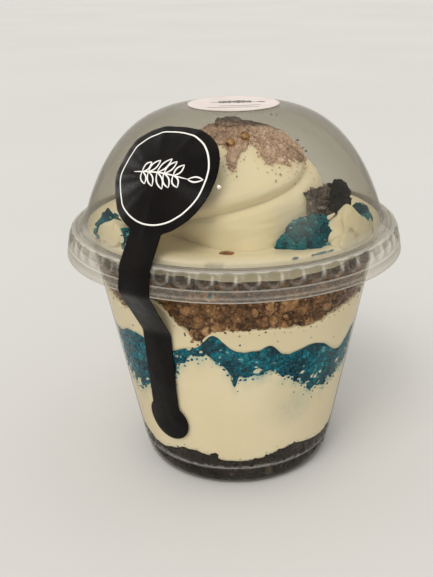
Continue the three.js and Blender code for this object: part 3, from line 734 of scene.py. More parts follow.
def layer(name, bottom, top, finish, slot, node, columns, pitch, cell=0, depth=0, back=0.0, soak=None):
    """A layer from boundary to boundary, crumbly at its side where it has a cell size. pitch is the
    height of its rows, back how far it stays off the wall, and soak(angle, z) adds to its tone."""
    tallest = max(top(a) - bottom(a) for a in range(0, 360, 5))
    side = max(int(tallest / pitch), 4)
    rows = side + 1 + 2 * len(INNER_SHARES)
    inner_tone = INNER_TONE if cell else 0.0
    means = [sum(edge(a) for a in range(0, 360, 15)) / 24 for edge in (bottom, top)]

    def inside(angle, share, edge, mean):
        """A place on the top or the bottom, which evens out towards the middle."""
        z = edge(angle)
        return (*polar(angle, share * filling_r(z), z + (mean - z) * (1 - share)), inner_tone)

    def place(row, angle):
        if row < len(INNER_SHARES):
            return inside(angle, INNER_SHARES[row], bottom, means[0])
        if row >= rows - len(INNER_SHARES):
            return inside(angle, INNER_SHARES[rows - 1 - row], top, means[1])
        low, high = bottom(angle), top(angle)
        z = low + (high - low) * (row - len(INNER_SHARES)) / side
        r = filling_r(z) - back
        soaked = soak(angle, z) if soak else 0.0
        if not cell:
            return (*polar(angle, r, z), soaked)
        coarse, tone = crumbly(polar(angle, r, z), cell, depth)
        fine, other = crumbly(polar(angle, r, z), cell * 0.33, depth * 0.35)
        return (*polar(angle, r - coarse - fine, z), 0.6 * tone + 0.4 * other + soaked)

    made = turned(name, rows, columns, place, tone=True)
    return finish_piece(made, finish, slot, node)


def creamy(angle, z):
    """Pockets of cream in the blue cake, many at its lower edge and fewer higher up."""
    rise = z - blue_bottom(angle)
    spot = polar(angle, filling_r(z), z)
    excess = relief(spot, 2.2, 3) + 0.35 * relief(spot, 8, 2) - 0.1 - 0.1 * rise
    return 2.4 * min(max(excess / 0.12, 0), 1)


def bled(angle, z):
    """Blue that has run down into the cream from the cake above it."""
    fall = max(blue_bottom(angle) - z, 0)
    patchy = 0.5 + 0.9 * relief(polar(angle, filling_r(z), z), 4, 3)
    return 0.75 * min(max(patchy, 0), 1) * math.exp(-fall / 1.8)


def by_wall(back):
    """Places just inside the wall, for crumbs that press against it."""
    return lambda angle, z: polar(angle, filling_r(z) - back, z)


def in_wall(x, y, z, back=0.0):
    """Presses a point flat against the inside of the cup's wall."""
    most = filling_r(z) + back
    r = math.hypot(x, y)
    if r > most:
        x, y = x * most / r, y * most / r
    return x, y, z


def wall_crumbs(name, lots, finish, slot):
    """Crumbs against the wall. A lot is (shapes, spacing, radii, seed, back, low, high) and may give
    the angles that it lies between."""
    meshes = []
    for shapes, spacing, radii, seed, back, low, high, *angles in lots:
        strip = open_strip(by_wall(back), low, high, *angles)
        meshes.append(scattered(strip, shapes, spacing, radii, seed, finish))
    finish_piece(crumb_piece(name, meshes, in_wall, finish), None, slot)


def beside(edge, apart):
    """An edge apart millimetres above another, or below it."""
    return lambda angle: edge(angle) + apart


def level(z):
    return lambda angle: z


def layers():
    layer("dark_base_layer", level(FLOOR_RISE + CUP_WALL), base_top, BASE_CRUMB, "dark_crumb", "dark_base",
          columns=360, pitch=0.6, cell=1.8, depth=0.6, back=0.2)
    layer("lower_cream", base_top, blue_bottom, FILLING, "cream_filling", "cream_lower",
          columns=480, pitch=0.7, back=0.08, soak=bled)
    layer("blue_cake_layer", blue_bottom, blue_top, BLUE_CRUMB, "blue_cake_crumb", "blue_crumb",
          columns=600, pitch=0.45, cell=2.2, depth=0.4, back=0.1, soak=creamy)
    layer("upper_cream", blue_top, biscuit_bottom, FILLING, "cream_filling", "cream_upper",
          columns=480, pitch=1.5, back=0.08)
    layer("biscuit_layer", biscuit_bottom, biscuit_top, BISCUIT_CRUMB, "biscuit_crumb", "biscuit_crumb",
          columns=600, pitch=0.45, cell=4.0, depth=1.7)
    wall_crumbs("biscuit_crumbs", [
        (WALL_CRUMBS, 3.8, (0.5, 1.7), 3, 1.1, biscuit_bottom, biscuit_top),
        (WALL_GRIT, 1.5, (0.2, 0.6), 4, 0.5, beside(biscuit_bottom, -0.3), biscuit_top),
        (WALL_GRIT, 2.0, (0.15, 0.4), 14, 0.0, beside(biscuit_bottom, -1.5), biscuit_bottom),
        (WALL_GRIT, 1.2, (0.3, 0.8), 15, 0.15, beside(blue_top, 0.2), biscuit_bottom, -18, -12),
    ], BISCUIT_CRUMB, "biscuit_crumb")
    wall_crumbs("blue_cake_crumbs", [
        (WALL_GRIT, 2.6, (0.3, 0.9), 6, 0.35, beside(blue_bottom, 1.5), blue_top),
        (WALL_GRIT, 1.2, (0.15, 0.55), 5, 0.0, beside(blue_bottom, -1.2), beside(blue_bottom, 0.7)),
        (WALL_GRIT, 3.8, (0.1, 0.3), 17, 0.0, beside(blue_bottom, -3.4), beside(blue_bottom, -1)),
        (WALL_GRIT, 10, (0.2, 0.45), 18, 0.0, beside(blue_top, 1.5), beside(biscuit_bottom, -1)),
        (WALL_GRIT, 1.3, (0.4, 0.8), 21, 0.0, level(66.2), level(67.8), -9.5, -7),
    ], BLUE_CRUMB, "blue_cake_crumb")
    wall_crumbs("dark_base_crumbs", [
        (WALL_CRUMBS, 3.4, (0.6, 1.6), 19, 0.5, level(4), base_top),
        (WALL_GRIT, 1.5, (0.2, 0.7), 7, 0.15, level(4), beside(base_top, 0.3)),
        (WALL_GRIT, 3.5, (0.1, 0.3), 20, 0.0, base_top, beside(base_top, 2)),
    ], BASE_CRUMB, "dark_crumb")


# ---- cream on top --------------------------------------------------------------------------------

UNDER_SHARES = (0.05, 0.3, 0.6, 0.9)   # of the radius, for the rows of the flat cream's underside
OVER_SHARES = (1.0, 0.97, 0.93, 0.88, 0.82, 0.75, 0.66, 0.55, 0.4, 0.22, 0.06)
RIDGE_R = 38.5                         # radius of a low ridge that runs round it near the wall


def cream_top():
    side_rows, columns = 4, 240

    def place(row, angle):
        low = biscuit_top(angle)
        if row < len(UNDER_SHARES):
            share = UNDER_SHARES[row]
            return polar(angle, share * filling_r(low), low + (1 - share) * (BISCUIT_TOP[0] - low))
        side = row - len(UNDER_SHARES)
        if side < side_rows:
            z = low + (CREAM_Z - 0.5 - low) * side / (side_rows - 1)
            return polar(angle, min(filling_r(z), MOUTH_R - 0.1), z)
        share = OVER_SHARES[side - side_rows]
        r = share * (MOUTH_R - 0.3)
        height = CREAM_Z - 0.1 + 0.25 * relief(polar(angle, r, 0), 9)
        ridge = 0.35 * bell(r - RIDGE_R - 1.2 * math.sin(math.radians(2 * angle)), 1.6)
        edge = -0.4 if share == 1.0 else 0
        return polar(angle, r, height + ridge + edge)

    made = turned("flat_cream", len(UNDER_SHARES) + side_rows + len(OVER_SHARES), columns, place)
    return finish_piece(made, SOFT_CREAM, "cream_filling", "cream_top")


def near_tip(z, below, half_height):
    """1 at a height so far below the swirl's tip, and falling off over half_height."""
    return bell(z - SWIRL_TOP_Z + below, half_height)


def swirl_r(z):
    """Radius of the swirl: a rounded cone with a knob and a narrow neck at its tip."""
    if z < SWIRL_WIDEST_Z:
        return SWIRL_R - 0.12 * (SWIRL_WIDEST_Z - z)
    share = min((z - SWIRL_WIDEST_Z) / (SWIRL_TOP_Z + 0.2 - SWIRL_WIDEST_Z), 1)
    return SWIRL_R * (1 - share ** 2.6) + 0.9 * near_tip(z, 0.6, 0.9) - 1.6 * near_tip(z, 1.6, 0.7)


def swirl_side(z):
    """How far to the right the swirl's turns lie: the last one leans, and its tip falls back."""
    return SWIRL_AT[0] - 0.7 * near_tip(z, 0.4, 1.2) + 2 * near_tip(z, 4.1, 2.4)


def fold_z(angle):
    """Height of the fold, which winds up in one turn from the base to just under the tip."""
    turned_share = (angle - FOLD_START) % 360 / 360
    foot = CREAM_Z + 0.3
    return foot - 1.2 + (SWIRL_TOP_Z - foot) * (1 - (1 - turned_share) ** 1.4)


def swirl_point(angle, z, grow=0.0):
    """A point of the swirl: one fold winds from its base to its tip, the turn above it overhanging."""
    fold = fold_z(angle)
    sharp = 1.1 if z < fold else 2.0
    crease = FOLD_DEPTH * math.exp(-abs(z - fold) / sharp)
    overhang = 0 if z < fold else 0.9 * bell(z - fold - 3.5, 3)
    low = max(0.0, 1 - (z - SWIRL_BASE_Z) / 7)
    dent = lumps(SWIRL_DENTS, angle) * low ** 0.7
    fade = min(1, swirl_r(z) / 9)
    streak = 0.025 * math.sin((z - fold) * 2.9 + 2 * relief(polar(angle, 20, z), 14, 2))
    soft = 0.55 * relief(polar(angle, 20, z), 11, 2) + 0.1 * relief(polar(angle, 20, z), 3.5, 2)
    r = max(swirl_r(z) + dent - (crease - overhang) * fade + (streak + soft) * fade + grow, 0.6 + grow)
    x, y, _ = polar(angle, r, z)
    return x + swirl_side(z), y + SWIRL_AT[1], z


def cream_swirl():
    rows, columns = 96, 200

    def place(row, angle):
        share = row / (rows - 1)
        z = SWIRL_BASE_Z + (SWIRL_TOP_Z - 0.1 - SWIRL_BASE_Z) * (1 - (1 - share) ** 1.35)
        return swirl_point(angle, z)

    made = turned("cream_swirl_piece", rows, columns, place)
    return finish_piece(made, SOFT_CREAM, "soft_cream", "cream_swirl")


CAP_EDGE = (97.6, [(-22, 18, 3.6), (0, 4, -2.6), (17, 10, 3.5), (48, 16, -1.7), (76, 12, -2.6),
                   (130, 20, 1.4), (180, 18, -1.6), (235, 20, 1.8), (290, 16, -0.8)])
CAP_THICK, CAP_LOWEST_Z = 0.9, 86
PEARL_R = 1.45
PEARLS = ((-0.7, -19.1, 101.5), (3.3, -16.4, 102.6))


def crumb_cap():
    """A crust of fine crumbs on the swirl, ragged at its edge, with loose grains round it."""
    rows, columns = 92, 320
    heights = np.arange(CAP_LOWEST_Z, SWIRL_TOP_Z - 0.1, 0.05)
    radii_up = [swirl_r(z) for z in heights]
    climbed = np.concatenate([[0], np.cumsum(np.hypot(np.diff(heights), np.diff(radii_up)))])

    def edge(angle):
        return boundary(CAP_EDGE, angle) + 1.7 * relief(polar(angle, 20, 0), 2.4, 4)

    def off_swirl(angle, z, out):
        """A point out mm from the swirl's surface, square to it."""
        slope = (swirl_r(z + 0.2) - swirl_r(z - 0.2)) / 0.4
        steep = math.hypot(1, slope)
        x, y, _ = swirl_point(angle, z, out / steep)
        return x, y, z - out * slope / steep

    def place(row, angle):
        share = row / (rows - 1)
        start = np.interp(edge(angle), heights, climbed)
        z = float(np.interp(start + (climbed[-1] - start) * share, climbed, heights))
        thin = min(1, share * 12)
        spot = swirl_point(angle, z)
        coarse, tone = crumbly(spot, 1.6, 0.7)
        fine, other = crumbly(spot, 0.7, 0.3)
        crust = thin * (CAP_THICK + 0.2 + 0.5 * relief(spot, 3.5, 2) - coarse - fine)
        return (*off_swirl(angle, z, 0.05 + max(crust, 0.0)), 0.5 * tone + 0.5 * other)

    made = turned("crumb_crust", rows, columns, place, tone=True)
    finish_piece(made, DUST, "crumb_dust", "crumb_cap")

    def on_swirl(angle, z):
        return off_swirl(angle, z, 0.5)

    top = level(SWIRL_TOP_Z - 0.4)
    lots = [
        (LOOSE_CRUMBS, 2.6, (0.3, 1.0), 31, edge, top),
        (LOOSE_GRIT, 0.75, (0.12, 0.38), 8, beside(edge, -0.3), top),
        (LOOSE_GRIT, 1.1, (0.1, 0.32), 9, beside(edge, -2.2), edge),
        (LOOSE_GRIT, 2.4, (0.1, 0.3), 32, beside(edge, -5), beside(edge, -2), 20, 110),
    ]
    meshes = []
    for shapes, spacing, radii, seed, low, high, *angles in lots:
        strip = open_strip(on_swirl, low, high, *(angles or (0, 360)), levels=16)
        meshes.append(scattered(strip, shapes, spacing, radii, seed, DUST))

    def off_pearls(x, y, z):
        """Keeps the grains low, and out of the pearls."""
        place_at = Vector((x, y, min(z, 107)))
        for centre in PEARLS:
            apart = place_at - Vector(centre)
            if apart.length < PEARL_R + 0.5:
                place_at = Vector(centre) + Vector((apart.x, apart.y + 1.2, apart.z)) * 0.5
        return tuple(place_at)

    finish_piece(crumb_piece("crust_grains", meshes, off_pearls, DUST), None, "crumb_dust")
    strip = open_strip(on_swirl, level(101), level(103), 18, 60, levels=3)
    blue = scattered(strip, LOOSE_GRIT, 1.8, (0.15, 0.4), 33, BLUE_CRUMB)
    finish_piece(crumb_piece("blue_grains", [blue], under_dome, BLUE_CRUMB), None, "blue_cake_crumb")


def pearls():
    beads = bmesh.new()
    for centre in PEARLS:
        bead = bmesh.ops.create_icosphere(beads, subdivisions=4, radius=PEARL_R)
        for vertex in bead["verts"]:
            vertex.co = vertex.co * (1 + 0.015 * relief(vertex.co, 1.2)) + Vector(centre)
    finish_piece(linked("bronze_pearls", mesh_of("bronze_pearls", beads)), PEARL, "crumb_dust")


# ---- toppings round the swirl --------------------------------------------------------------------

def under_dome(x, y, z):
    """Keeps a point inside the dome and on the flat cream."""
    z = max(z, CREAM_Z - 0.5)
    most = dome_r(z) - LID_WALL - 0.3
    r = math.hypot(x, y)
    if r > most:
        x, y = x * most / r, y * most / r
    return x, y, z


PETALS = {
    "petal_right": dict(foot=(30.2, -25.4), size=(5, 6.4), turn=-42, tip=(30.4, -25, 86), bulge=0.25),
    "petal_small": dict(foot=(35, -21.2), size=(2.6, 4), turn=-58, tip=(37.8, -19.4, 80.4), bulge=0.1),
    "petal_left": dict(foot=(-30.8, -24), size=(4.8, 6.2), turn=52, tip=(-32, -24.6, 82.8), bulge=0.3),
    "petal_back": dict(foot=(-20, 29), size=(5.4, 6), turn=-35, tip=(-21, 27.5, 84.5), bulge=0.35),
}
FLAKES = {
    "right_flake": dict(foot=(34.4, -24.2), size=(1.5, 3.4), turn=-30, tip=(35.6, -22.8, 82), bulge=0.5),
    "front_flake": dict(foot=(30, -30.5), size=(1.6, 3.6), turn=-70, tip=(31.5, -29, 80.6), bulge=0.4),
    "left_flake": dict(foot=(-28, -28.6), size=(1.5, 3.2), turn=70, tip=(-29.5, -27.6, 80.4), bulge=0.4),
}
CHUNKS = {
    "cookie_chunk": dict(at=(27.8, -22.2, 87.2), size=(3.6, 3, 5), turn=20, tilt=6, seed=6,
                         finish=COOKIE, slot="dark_cookie"),
    "biscuit_chunk": dict(at=(23.2, -22.2, 86), size=(5.6, 3.2, 4.6), turn=22, tilt=-8, seed=2,
                          finish=GREY_BISCUIT, slot="grey_biscuit"),
}
HEAPS = {
    "blue_heap_right": dict(at=(19.9, -26.6), size=(11.4, 7.8, 8.2), seed=1, turn=24),
    "blue_heap_side": dict(at=(35, -14.6), size=(3.8, 8, 8), seed=2, turn=18),
    "blue_heap_left": dict(at=(-35.2, -16), size=(3.8, 5.6, 7.2), seed=3, turn=-22),
    "blue_heap_front_left": dict(at=(-28.2, -28.8), size=(2.6, 2.6, 6), seed=4, turn=0),
    "blue_heap_back": dict(at=(15, 30.6), size=(8, 4.4, 4.6), seed=5, turn=-25),
}


def petal(name, nodes, foot, size, turn, tip, bulge):
    """A dab of cream drawn up to a tip, with folds that run up its sides."""
    rows, columns = 34, 72
    c, s = math.cos(math.radians(turn)), math.sin(math.radians(turn))

    def place(row, angle):
        t = row / (rows - 1)
        wide = (1 + bulge * math.sin(math.pi * t)) * max(1 - t ** 2.2, 0.0004) ** 0.8
        wide *= 1 - 0.24 * abs(math.sin(math.radians(2.5 * angle) + 1.6 * t)) ** 3
        wide *= 1 + 0.1 * math.sin(9 * t + math.radians(angle))
        x, y, _ = polar(angle, wide, 0)
        x, y = x * size[0], y * size[1]
        bend = t ** 1.6
        px = foot[0] + (tip[0] - foot[0]) * bend + c * x - s * y
        py = foot[1] + (tip[1] - foot[1]) * bend + s * x + c * y
        z = CREAM_Z - 0.5 + (tip[2] - CREAM_Z + 0.5) * t
        wobble = 0.8 * relief((px, py, z), 4, 4)
        return under_dome(px + wobble, py - wobble, z)

    finish_piece(turned(name + "_cream", rows, columns, place), SOFT_CREAM, "soft_cream", *nodes)


def chunk(name, at, size, turn, tilt, seed, finish, slot):
    """A broken piece of biscuit: a blunt block with a crumbly break all over."""
    shell = ball(6)
    aside = Vector((seed, 0, 0))
    spin = Euler((0, math.radians(tilt), math.radians(turn))).to_matrix()
    tones = []
    for vertex in shell.verts:
        v = vertex.co.copy()
        corner = max(abs(v.x), abs(v.y), abs(v.z))
        grown = v * (0.6 + 0.4 / corner) * (1 + 0.22 * relief(v + aside, 0.8, 3))
        grown = Vector([grown[k] * size[k] for k in range(3)])
        coarse, tone = crumbly(grown + aside, 2.3, 1.3)
        fine, other = crumbly(grown + aside, 0.8, 0.4)
        grown -= v * (coarse + fine)
        vertex.co = under_dome(*(spin @ grown + Vector(at)))
        tones.append(0.5 * tone + 0.5 * other)
    finish_piece(linked(name + "_break", mesh_of(name, shell), tones), finish, slot, name)


def heap(name, at, size, seed, turn):
    """A low core with the crumbs of the heap on it."""
    spin = Euler((0, 0, math.radians(turn))).to_matrix()

    def mound(grow, detail):
        """The heap's own lump at a share of its size."""
        shell = ball(detail)
        tones = []
        for vertex in shell.verts:
            v = vertex.co * (0.95 + 0.2 * relief(vertex.co + Vector((seed * 3.1, 0, 0)), 0.6))
            grown = Vector([v[k] * size[k] for k in range(3)]) * grow
            back, tone = crumbly(grown, 1.8, 0.7)
            grown -= v * back
            vertex.co = under_dome(*(spin @ grown + Vector((at[0], at[1], CREAM_Z))))
            tones.append(tone)
        return linked("mound", mesh_of("mound", shell), tones)

    core = mound(0.9, 5)
    big = scattered(mound(0.8, 3), WALL_CRUMBS, 3.8, (1.5, 3.2), seed, BLUE_CRUMB)
    small = scattered(mound(0.9, 3), LOOSE_CRUMBS, 2.4, (0.3, 1.1), seed + 20, BLUE_CRUMB)
    made = crumb_piece(name + "_crumbs", [core.data, big, small], under_dome, BLUE_CRUMB)
    bpy.data.objects.remove(core)
    finish_piece(made, None, "blue_cake_crumb", name)


def toppings():
    for name, shape in PETALS.items():
        petal(name, [name], **shape)
    for name, shape in FLAKES.items():
        petal(name, [], **shape)
    for name, shape in CHUNKS.items():
        chunk(name, **shape)
    for name, shape in HEAPS.items():
        heap(name, **shape)


def dabs(name, listed, finish, slot):
    """Small flat dabs lying on a surface, each as (place, half sizes, turn)."""
    joined = bmesh.new()
    for at, size, turn in listed:
        c, s = math.cos(math.radians(turn)), math.sin(math.radians(turn))
        for vertex in bmesh.ops.create_icosphere(joined, subdivisions=4, radius=1)["verts"]:
            v = vertex.co.copy()
            spread = 1 + 0.45 * relief(Vector((v.x + at[0], v.y + at[1], 0)), 0.6)
            x, y, z = v.x * size[0] * spread, v.y * size[1] * spread, v.z * size[2]
            vertex.co = under_dome(at[0] + c * x - s * y, at[1] + s * x + c * y, at[2] + z)
    tones = [0.5 + 0.5 * relief(vertex.co, 1.2) for vertex in joined.verts]
    finish_piece(linked(name, mesh_of(name, joined), tones), finish, slot)


def spills():
    """What fell beside the toppings: a drop of caramel, smears of blue, and crumbs up on the dome."""
    x, y, _ = polar(-3, 36.2, 0)
    dabs("caramel_drop", [((x, y, CREAM_Z + 0.1), (2, 1.5, 0.6), 0)], CARAMEL, "cream_filling")
    dabs("blue_smears", [
        ((23, -37.8, CREAM_Z + 0.1), (2.3, 0.8, 0.35), 22),
        ((25.6, -36.2, CREAM_Z + 0.1), (1.2, 0.6, 0.3), 40),
        ((15.7, -41.2, CREAM_Z), (0.8, 0.6, 0.4), 0), ((20.4, -38.8, CREAM_Z), (0.5, 0.4, 0.3), 0),
    ], BLUE_CRUMB, "blue_cake_crumb")
    dabs("dome_crumbs", [
        ((10.6, -12.4, 107.9), (0.38, 0.22, 0.2), 10), ((12, -12.6, 107.7), (0.26, 0.2, 0.2), 60),
        ((17, -22.1, 102.7), (0.36, 0.26, 0.3), 20), ((19.1, -24.1, 100.2), (0.4, 0.3, 0.3), 70),
        ((18.4, -23.4, 101), (0.22, 0.2, 0.2), 0),
    ], GREY_BISCUIT, "grey_biscuit")


# ---- seal and label ------------------------------------------------------------------------------

SEAL_LIFT, SEAL_THICK = 0.25, 0.14


def seal_course():
    """The seal's middle line from the top of its disc to the end of its strip, as (angle, r, z)."""
    course = []
    z = LID_TOP_Z - 1
    while z > DOME_Z + 6:
        course.append((SEAL_AT, dome_r(z) + SEAL_LIFT, z))
        z -= 0.4
    course += [
        (-31.4, SHOULDER_R + SEAL_LIFT + 0.3, SHOULDER_Z + 0.5),
        (-31.4, SHOULDER_R + 0.7 + SEAL_LIFT, SHOULDER_Z - 2.8),
        (-31.5, LID_R + SEAL_LIFT, SKIRT_Z + 0.3),
        (-33.4, cup_outside(53) + SEAL_LIFT, 53),
    ]
    for angle, z in ((-34.8, 44), (-36.4, 33), (-37, SEAL_END_Z + 6), (-37, SEAL_END_Z - SEAL_END_R)):
        course.append((angle, cup_outside(z) + SEAL_LIFT, z))
    return course


COURSE = seal_course()
RUN = [0.0]
for before, after in zip(COURSE, COURSE[1:]):
    RUN.append(RUN[-1] + math.hypot(after[1] - before[1], after[2] - before[2]))


def disc_run():
    """How far down the course the middle of the disc is."""
    climbed, z = 0.0, DOME_Z
    while climbed < SEAL_DISC_RISE:
        climbed += math.hypot(dome_r(z + 0.05) - dome_r(z), 0.05)
        z += 0.05
    return next(RUN[i] for i, spot in enumerate(COURSE) if spot[2] <= z)


DISC_RUN = disc_run()


def on_course(run):
    i = int(np.clip(np.searchsorted(RUN, run), 1, len(RUN) - 1))
    t = (run - RUN[i - 1]) / (RUN[i] - RUN[i - 1])
    return [b + (a - b) * t for a, b in zip(COURSE[i], COURSE[i - 1])]


def on_seal(across, run, out=0.0):
    """A point of the seal from millimetres across and along it, out from its underside."""
    soft = 0.9
    spots = [on_course(run + step) for step in (-soft, 0, soft)]
    angle, r, z = [sum(values) / 3 for values in zip(*spots)]
    slope = Vector((spots[2][1] - spots[0][1], spots[2][2] - spots[0][2])).normalized()
    turned_angle = math.radians(angle) + across / r
    reach = r + out * -slope.y
    return (reach * math.sin(turned_angle), -reach * math.cos(turned_angle), z + out * slope.x)


def crinkle(across, run):
    """How far the paper stands off: creases that fan out over the disc, and a lifted lower edge."""
    x, y = across, run - DISC_RUN
    reach = math.hypot(x, y)
    fan = math.atan2(y, x)
    crease = 0.5 + 0.5 * math.sin(fan * 9 + 1.5 * relief((fan * 2, 0, 0), 1))
    inside = min(max((reach - 3) / 8, 0), 1) * max(0, 1 - max(reach - SEAL_R, 0) / 4)
    return 0.28 * crease ** 3 * inside + 0.08 * relief((x, y, 3), 5)


# Painted streaks of sheen over the seal's disc as (direction in degrees, half width, strength).
PAINTED_SHEEN_STREAKS = [(152, 7, 1.2), (168, 3, 0.8), (128, 5, 0.5), (188, 6, 0.6), (205, 3, 0.4), (20, 9, 0.3)]


def sheen(across, run):
    """How far the paper's shine is raised as a painted sheen: streaks that fan out over the disc, and one
    along the strip."""
    x, y = across, run - DISC_RUN
    reach = math.hypot(x, y)
    fan = math.degrees(math.atan2(y, x))
    streaks = lumps(PAINTED_SHEEN_STREAKS, fan)
    on_disc = streaks * min(max((reach - 2) / 7, 0), 1) * max(0, 1 - max(reach - SEAL_R, 0) / 3)
    on_strip = 0.35 * bell(run - DISC_RUN - 36, 6) * bell(across + 1, 3)
    return on_disc + on_strip + 0.1 * (0.5 + 0.5 * relief((x, y, 9), 7, 2))


def seal_half_width(run):
    x = run - DISC_RUN
    disc = math.sqrt(max(SEAL_R ** 2 - x * x, 0))
    end = RUN[-1] - SEAL_END_R - run
    tab = math.sqrt(max(SEAL_END_R ** 2 - end * end, 0))
    strip = STRIP_WIDTH / 2 if DISC_RUN < run < RUN[-1] - SEAL_END_R else 0
    return max(disc, tab, strip, 0.02)


def paper_seal():
    first, last = DISC_RUN - SEAL_R, RUN[-1]
    straight = last - SEAL_END_R
    disc_rows, middle_rows, end_rows, columns = 20, 150, 12, 40
    quarter = math.pi / 2
    runs = [first + SEAL_R * (1 - math.cos(quarter * k / disc_rows)) for k in range(disc_rows + 1)]
    runs += list(np.linspace(DISC_RUN, straight, middle_rows)[1:])
    runs += [straight + SEAL_END_R * math.sin(quarter * k / end_rows) for k in range(1, end_rows + 1)]
    points, faces, tones = [], [], []
    for layer_out in (0.0, SEAL_THICK):
        for run in runs:
            half = seal_half_width(run)
            for column in range(columns + 1):
                across = half * (2 * column / columns - 1)
                points.append(on_seal(across, run, layer_out + crinkle(across, run)))
                # Each point's tone is painted sheen, raising the paper's shine.
                tones.append(sheen(across, run))
    row = columns + 1
    level = row * len(runs)
    for k in (0, level):
        for i in range(len(runs) - 1):
            for j in range(columns):
                a = k + i * row + j
                faces.append((a, a + 1, a + row + 1, a + row))
    for i in range(len(runs) - 1):
        for j in (0, columns):
            a = i * row + j
            faces.append((a, a + row, a + row + level, a + level))
    for i in (0, len(runs) - 1):
        for j in range(columns):
            a = i * row + j
            faces.append((a, a + 1, a + 1 + level, a + level))
    finish_piece(piece_from("paper_seal", points, faces, tones), SEAL_PAPER, "black_paper", "seal_label")


def ribbons(name, lines, place, width, finish, slot, thick=0.05):
    """Printed lines: thin flat bands along lines in millimetres on a sheet."""
    points, faces = [], []
    for line in lines:
        line = [Vector(p) for p in line]
        looped = (line[0] - line[-1]).length < 0.01
        start = len(points)
        for i, here in enumerate(line):
            if looped:
                before = line[i - 1 if i else -2]
                after = line[i + 1 if i + 1 < len(line) else 1]
            else:
                before = line[max(i - 1, 0)]
                after = line[min(i + 1, len(line) - 1)]
            side = (after - before).orthogonal().normalized()
            taper = 1 if looped else 0.35 + 0.65 * math.sin(math.pi * i / (len(line) - 1)) ** 0.5
            for edge in (-1, 1):
                for out in (-0.02, thick):
                    spot = here + side * edge * width / 2 * taper
                    points.append(place(spot.x, spot.y, out))
        count = len(line) - 1
        for i in range(count):
            a, b = start + 4 * i, start + 4 * (i + 1)
            for p, q in ((0, 1), (1, 3), (3, 2), (2, 0)):
                faces.append((a + p, a + q, b + q, b + p))
        if not looped:
            faces.append((start, start + 1, start + 3, start + 2))
            end = start + 4 * count
            faces.append((end, end + 2, end + 3, end + 1))
    return finish_piece(piece_from(name, points, faces), finish, slot)


def bent(start, end, bow, steps=16):
    """Points of a line from start to end that bows to one side."""
    start, end = Vector(start), Vector(end)
    side = (end - start).orthogonal().normalized()
    shares = [k / steps for k in range(steps + 1)]
    return [start.lerp(end, share) + side * bow * math.sin(math.pi * share) for share in shares]


def sprig(length, leaves, leaf, lean=55):
    """A plain leaf sprig along +X, centred: a stem, and leaves in pairs drawn as two bowed lines."""
    stem = bent((-length / 2, 0), (length / 2, 0), length * 0.06, 24)
    lines = [stem]
    for k in range(leaves):
        root = stem[4 + int(18 * k / leaves)]
        for side in (-1, 1):
            turn = math.radians(side * lean)
            reach = leaf * (1 - 0.35 * abs(2 * k / leaves - 0.8))
            tip = root + Vector((math.cos(turn), math.sin(turn))) * reach
            lines += [bent(root, tip, leaf * 0.16), bent(root, tip, -leaf * 0.16)]
    tip = stem[-1] + Vector((leaf * 0.8, 0))
    lines += [bent(stem[-1], tip, leaf * 0.14), bent(stem[-1], tip, -leaf * 0.14)]
    return lines


RING_R, PRINT_WIDTH = 13.3, 0.42


def seal_print():
    """A ring drawn by hand, and a sprig in it."""
    ring = []
    for k in range(90):
        turn = math.radians(4 * k)
        c, s = math.cos(turn), math.sin(turn)
        wobbly = RING_R * (1 + 0.012 * math.sin(3 * turn) + 0.008 * relief((3 * c, 3 * s, 0), 1))
        ring.append((wobbly * c, wobbly * s))
    lines = [ring + [ring[0]]] + [[(p.x, -p.y + 0.4) for p in line] for line in sprig(17, 5, 5.2)]

    def place(x, y, out):
        return on_seal(x, DISC_RUN + y, SEAL_THICK + out + crinkle(x, DISC_RUN + y))

    ribbons("seal_print", lines, place, PRINT_WIDTH, WHITE_INK, "black_paper")


def round_label():
    """A thin disc whose edge lifts a little in waves, and its print."""
    shares = [0.05, 0.3, 0.55, 0.8, 0.95, 1.0]
    low, thick, columns = LID_TOP_Z + 0.02, 0.16, 96
    rows = [(share, 0) for share in shares] + [(share, thick) for share in reversed(shares)]

    def on_label(x, y, out):
        wave = 0.12 * math.hypot(x, y) / LABEL_R * (0.5 + 0.5 * relief((x, y, 0), 9, 2))
        return x + LABEL_AT[0], y + LABEL_AT[1], low + wave + out

    def place(row, angle):
        share, out = rows[row]
        x, y, _ = polar(angle, share * LABEL_R, 0)
        return on_label(x, y, out)

    finish_piece(turned("round_label", len(rows), columns, place), LABEL_PAPER, "pale_paper", "top_label")

    def printed(x, y, out):
        return on_label(x, y, thick + out)

    lines = [[(p.x, p.y + 1.5) for p in line] for line in sprig(13, 5, 3.2, 40)]
    lines += [bent((-4, -4.5), (7.5, -3.5), -0.5), bent((-7.5, -7), (7, -7), -0.2)]
    lines = [[Vector(p) for p in line] for line in lines]
    ribbons("label_print", lines, printed, 0.5, DARK_INK, "pale_paper", 0.03)


# ---- studio --------------------------------------------------------------------------------------

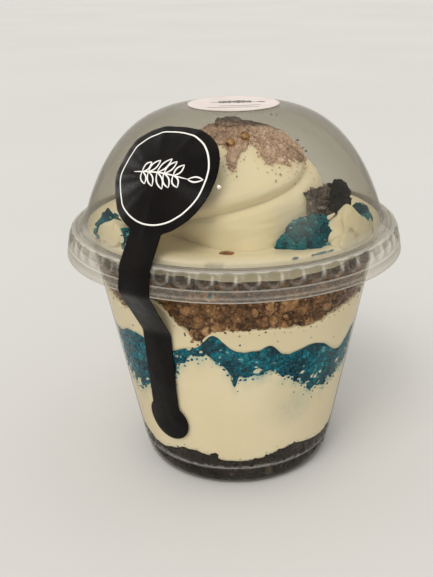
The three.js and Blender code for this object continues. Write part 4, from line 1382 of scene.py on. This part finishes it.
def floor():
    """A light grey floor with a faint mottle."""
    bpy.ops.mesh.primitive_plane_add(size=30)
    made = bpy.context.object
    made.name = "studio_floor"
    finish, tree, where = material("painted_floor")
    principled(tree, {
        "Base Color": shaded(tree, lumpy(tree, where, 333, 2.0), [(0.3, 0xC0BFBD), (0.7, 0xC4C3C1)]),
        "Roughness": 0.85, "Specular IOR Level": 0.1,
    })
    made.data.materials.append(finish)


def lamp(name, kind, energy, place, **settings):
    """A lamp at a place in metres, aimed at the middle of the cup."""
    data = bpy.data.lights.new(name, kind)
    data.energy = energy
    for key, value in settings.items():
        setattr(data, key, value)
    made = bpy.data.objects.new(name, data)
    made.location = place
    aim = Vector((0, 0, 0.07)) - Vector(place)
    made.rotation_euler = aim.to_track_quat("-Z", "Y").to_euler()
    made.visible_glossy = kind == "AREA"
    bpy.context.scene.collection.objects.link(made)


def studio():
    """A light room, with a wide soft light high up at the front left and a small one close to it."""
    floor()
    world = bpy.data.worlds.new("soft_room")
    bpy.context.scene.world = world
    world.use_nodes = True
    sky = world.node_tree.nodes["Background"].inputs
    sky["Color"].default_value = linear(0xFAF8F4)
    sky["Strength"].default_value = 1.04
    lamp("window", "SUN", 1.45, (-0.25, -0.6, 0.9), angle=math.radians(30), color=(1, 0.97, 0.92))
    lamp("bulb", "AREA", 0.5, (-0.18, -0.64, 0.87), size=0.035, color=(1, 0.95, 0.88))
    bpy.context.scene.view_settings.view_transform = "Standard"


def camera():
    """Stands where the photograph was taken from, found by fitting the outline of the cup and lid."""
    frame_width, frame_height = 433, 577
    focal_px, centre_x = 820.98, 234.84
    back, height, tilt, roll = 0.2359, 0.14666, 0.38039, -0.01647
    data = bpy.data.cameras.new("camera")
    data.sensor_fit = "VERTICAL"
    data.sensor_height = 36
    data.lens = focal_px / frame_height * data.sensor_height
    data.shift_x = -(centre_x - frame_width / 2) / frame_height
    data.clip_start = 0.01
    made = bpy.data.objects.new("camera", data)
    bpy.context.scene.collection.objects.link(made)
    upright = Euler((math.pi / 2 - tilt, 0, 0)).to_matrix()
    made.rotation_euler = (upright @ Euler((0, 0, roll)).to_matrix()).to_euler()
    made.location = (0, -back, height)
    bpy.context.scene.camera = made


camera()
studio()
clear_cup()
clear_lid()
layers()
cream_top()
cream_swirl()
crumb_cap()
pearls()
toppings()
spills()
paper_seal()
seal_print()
round_label()
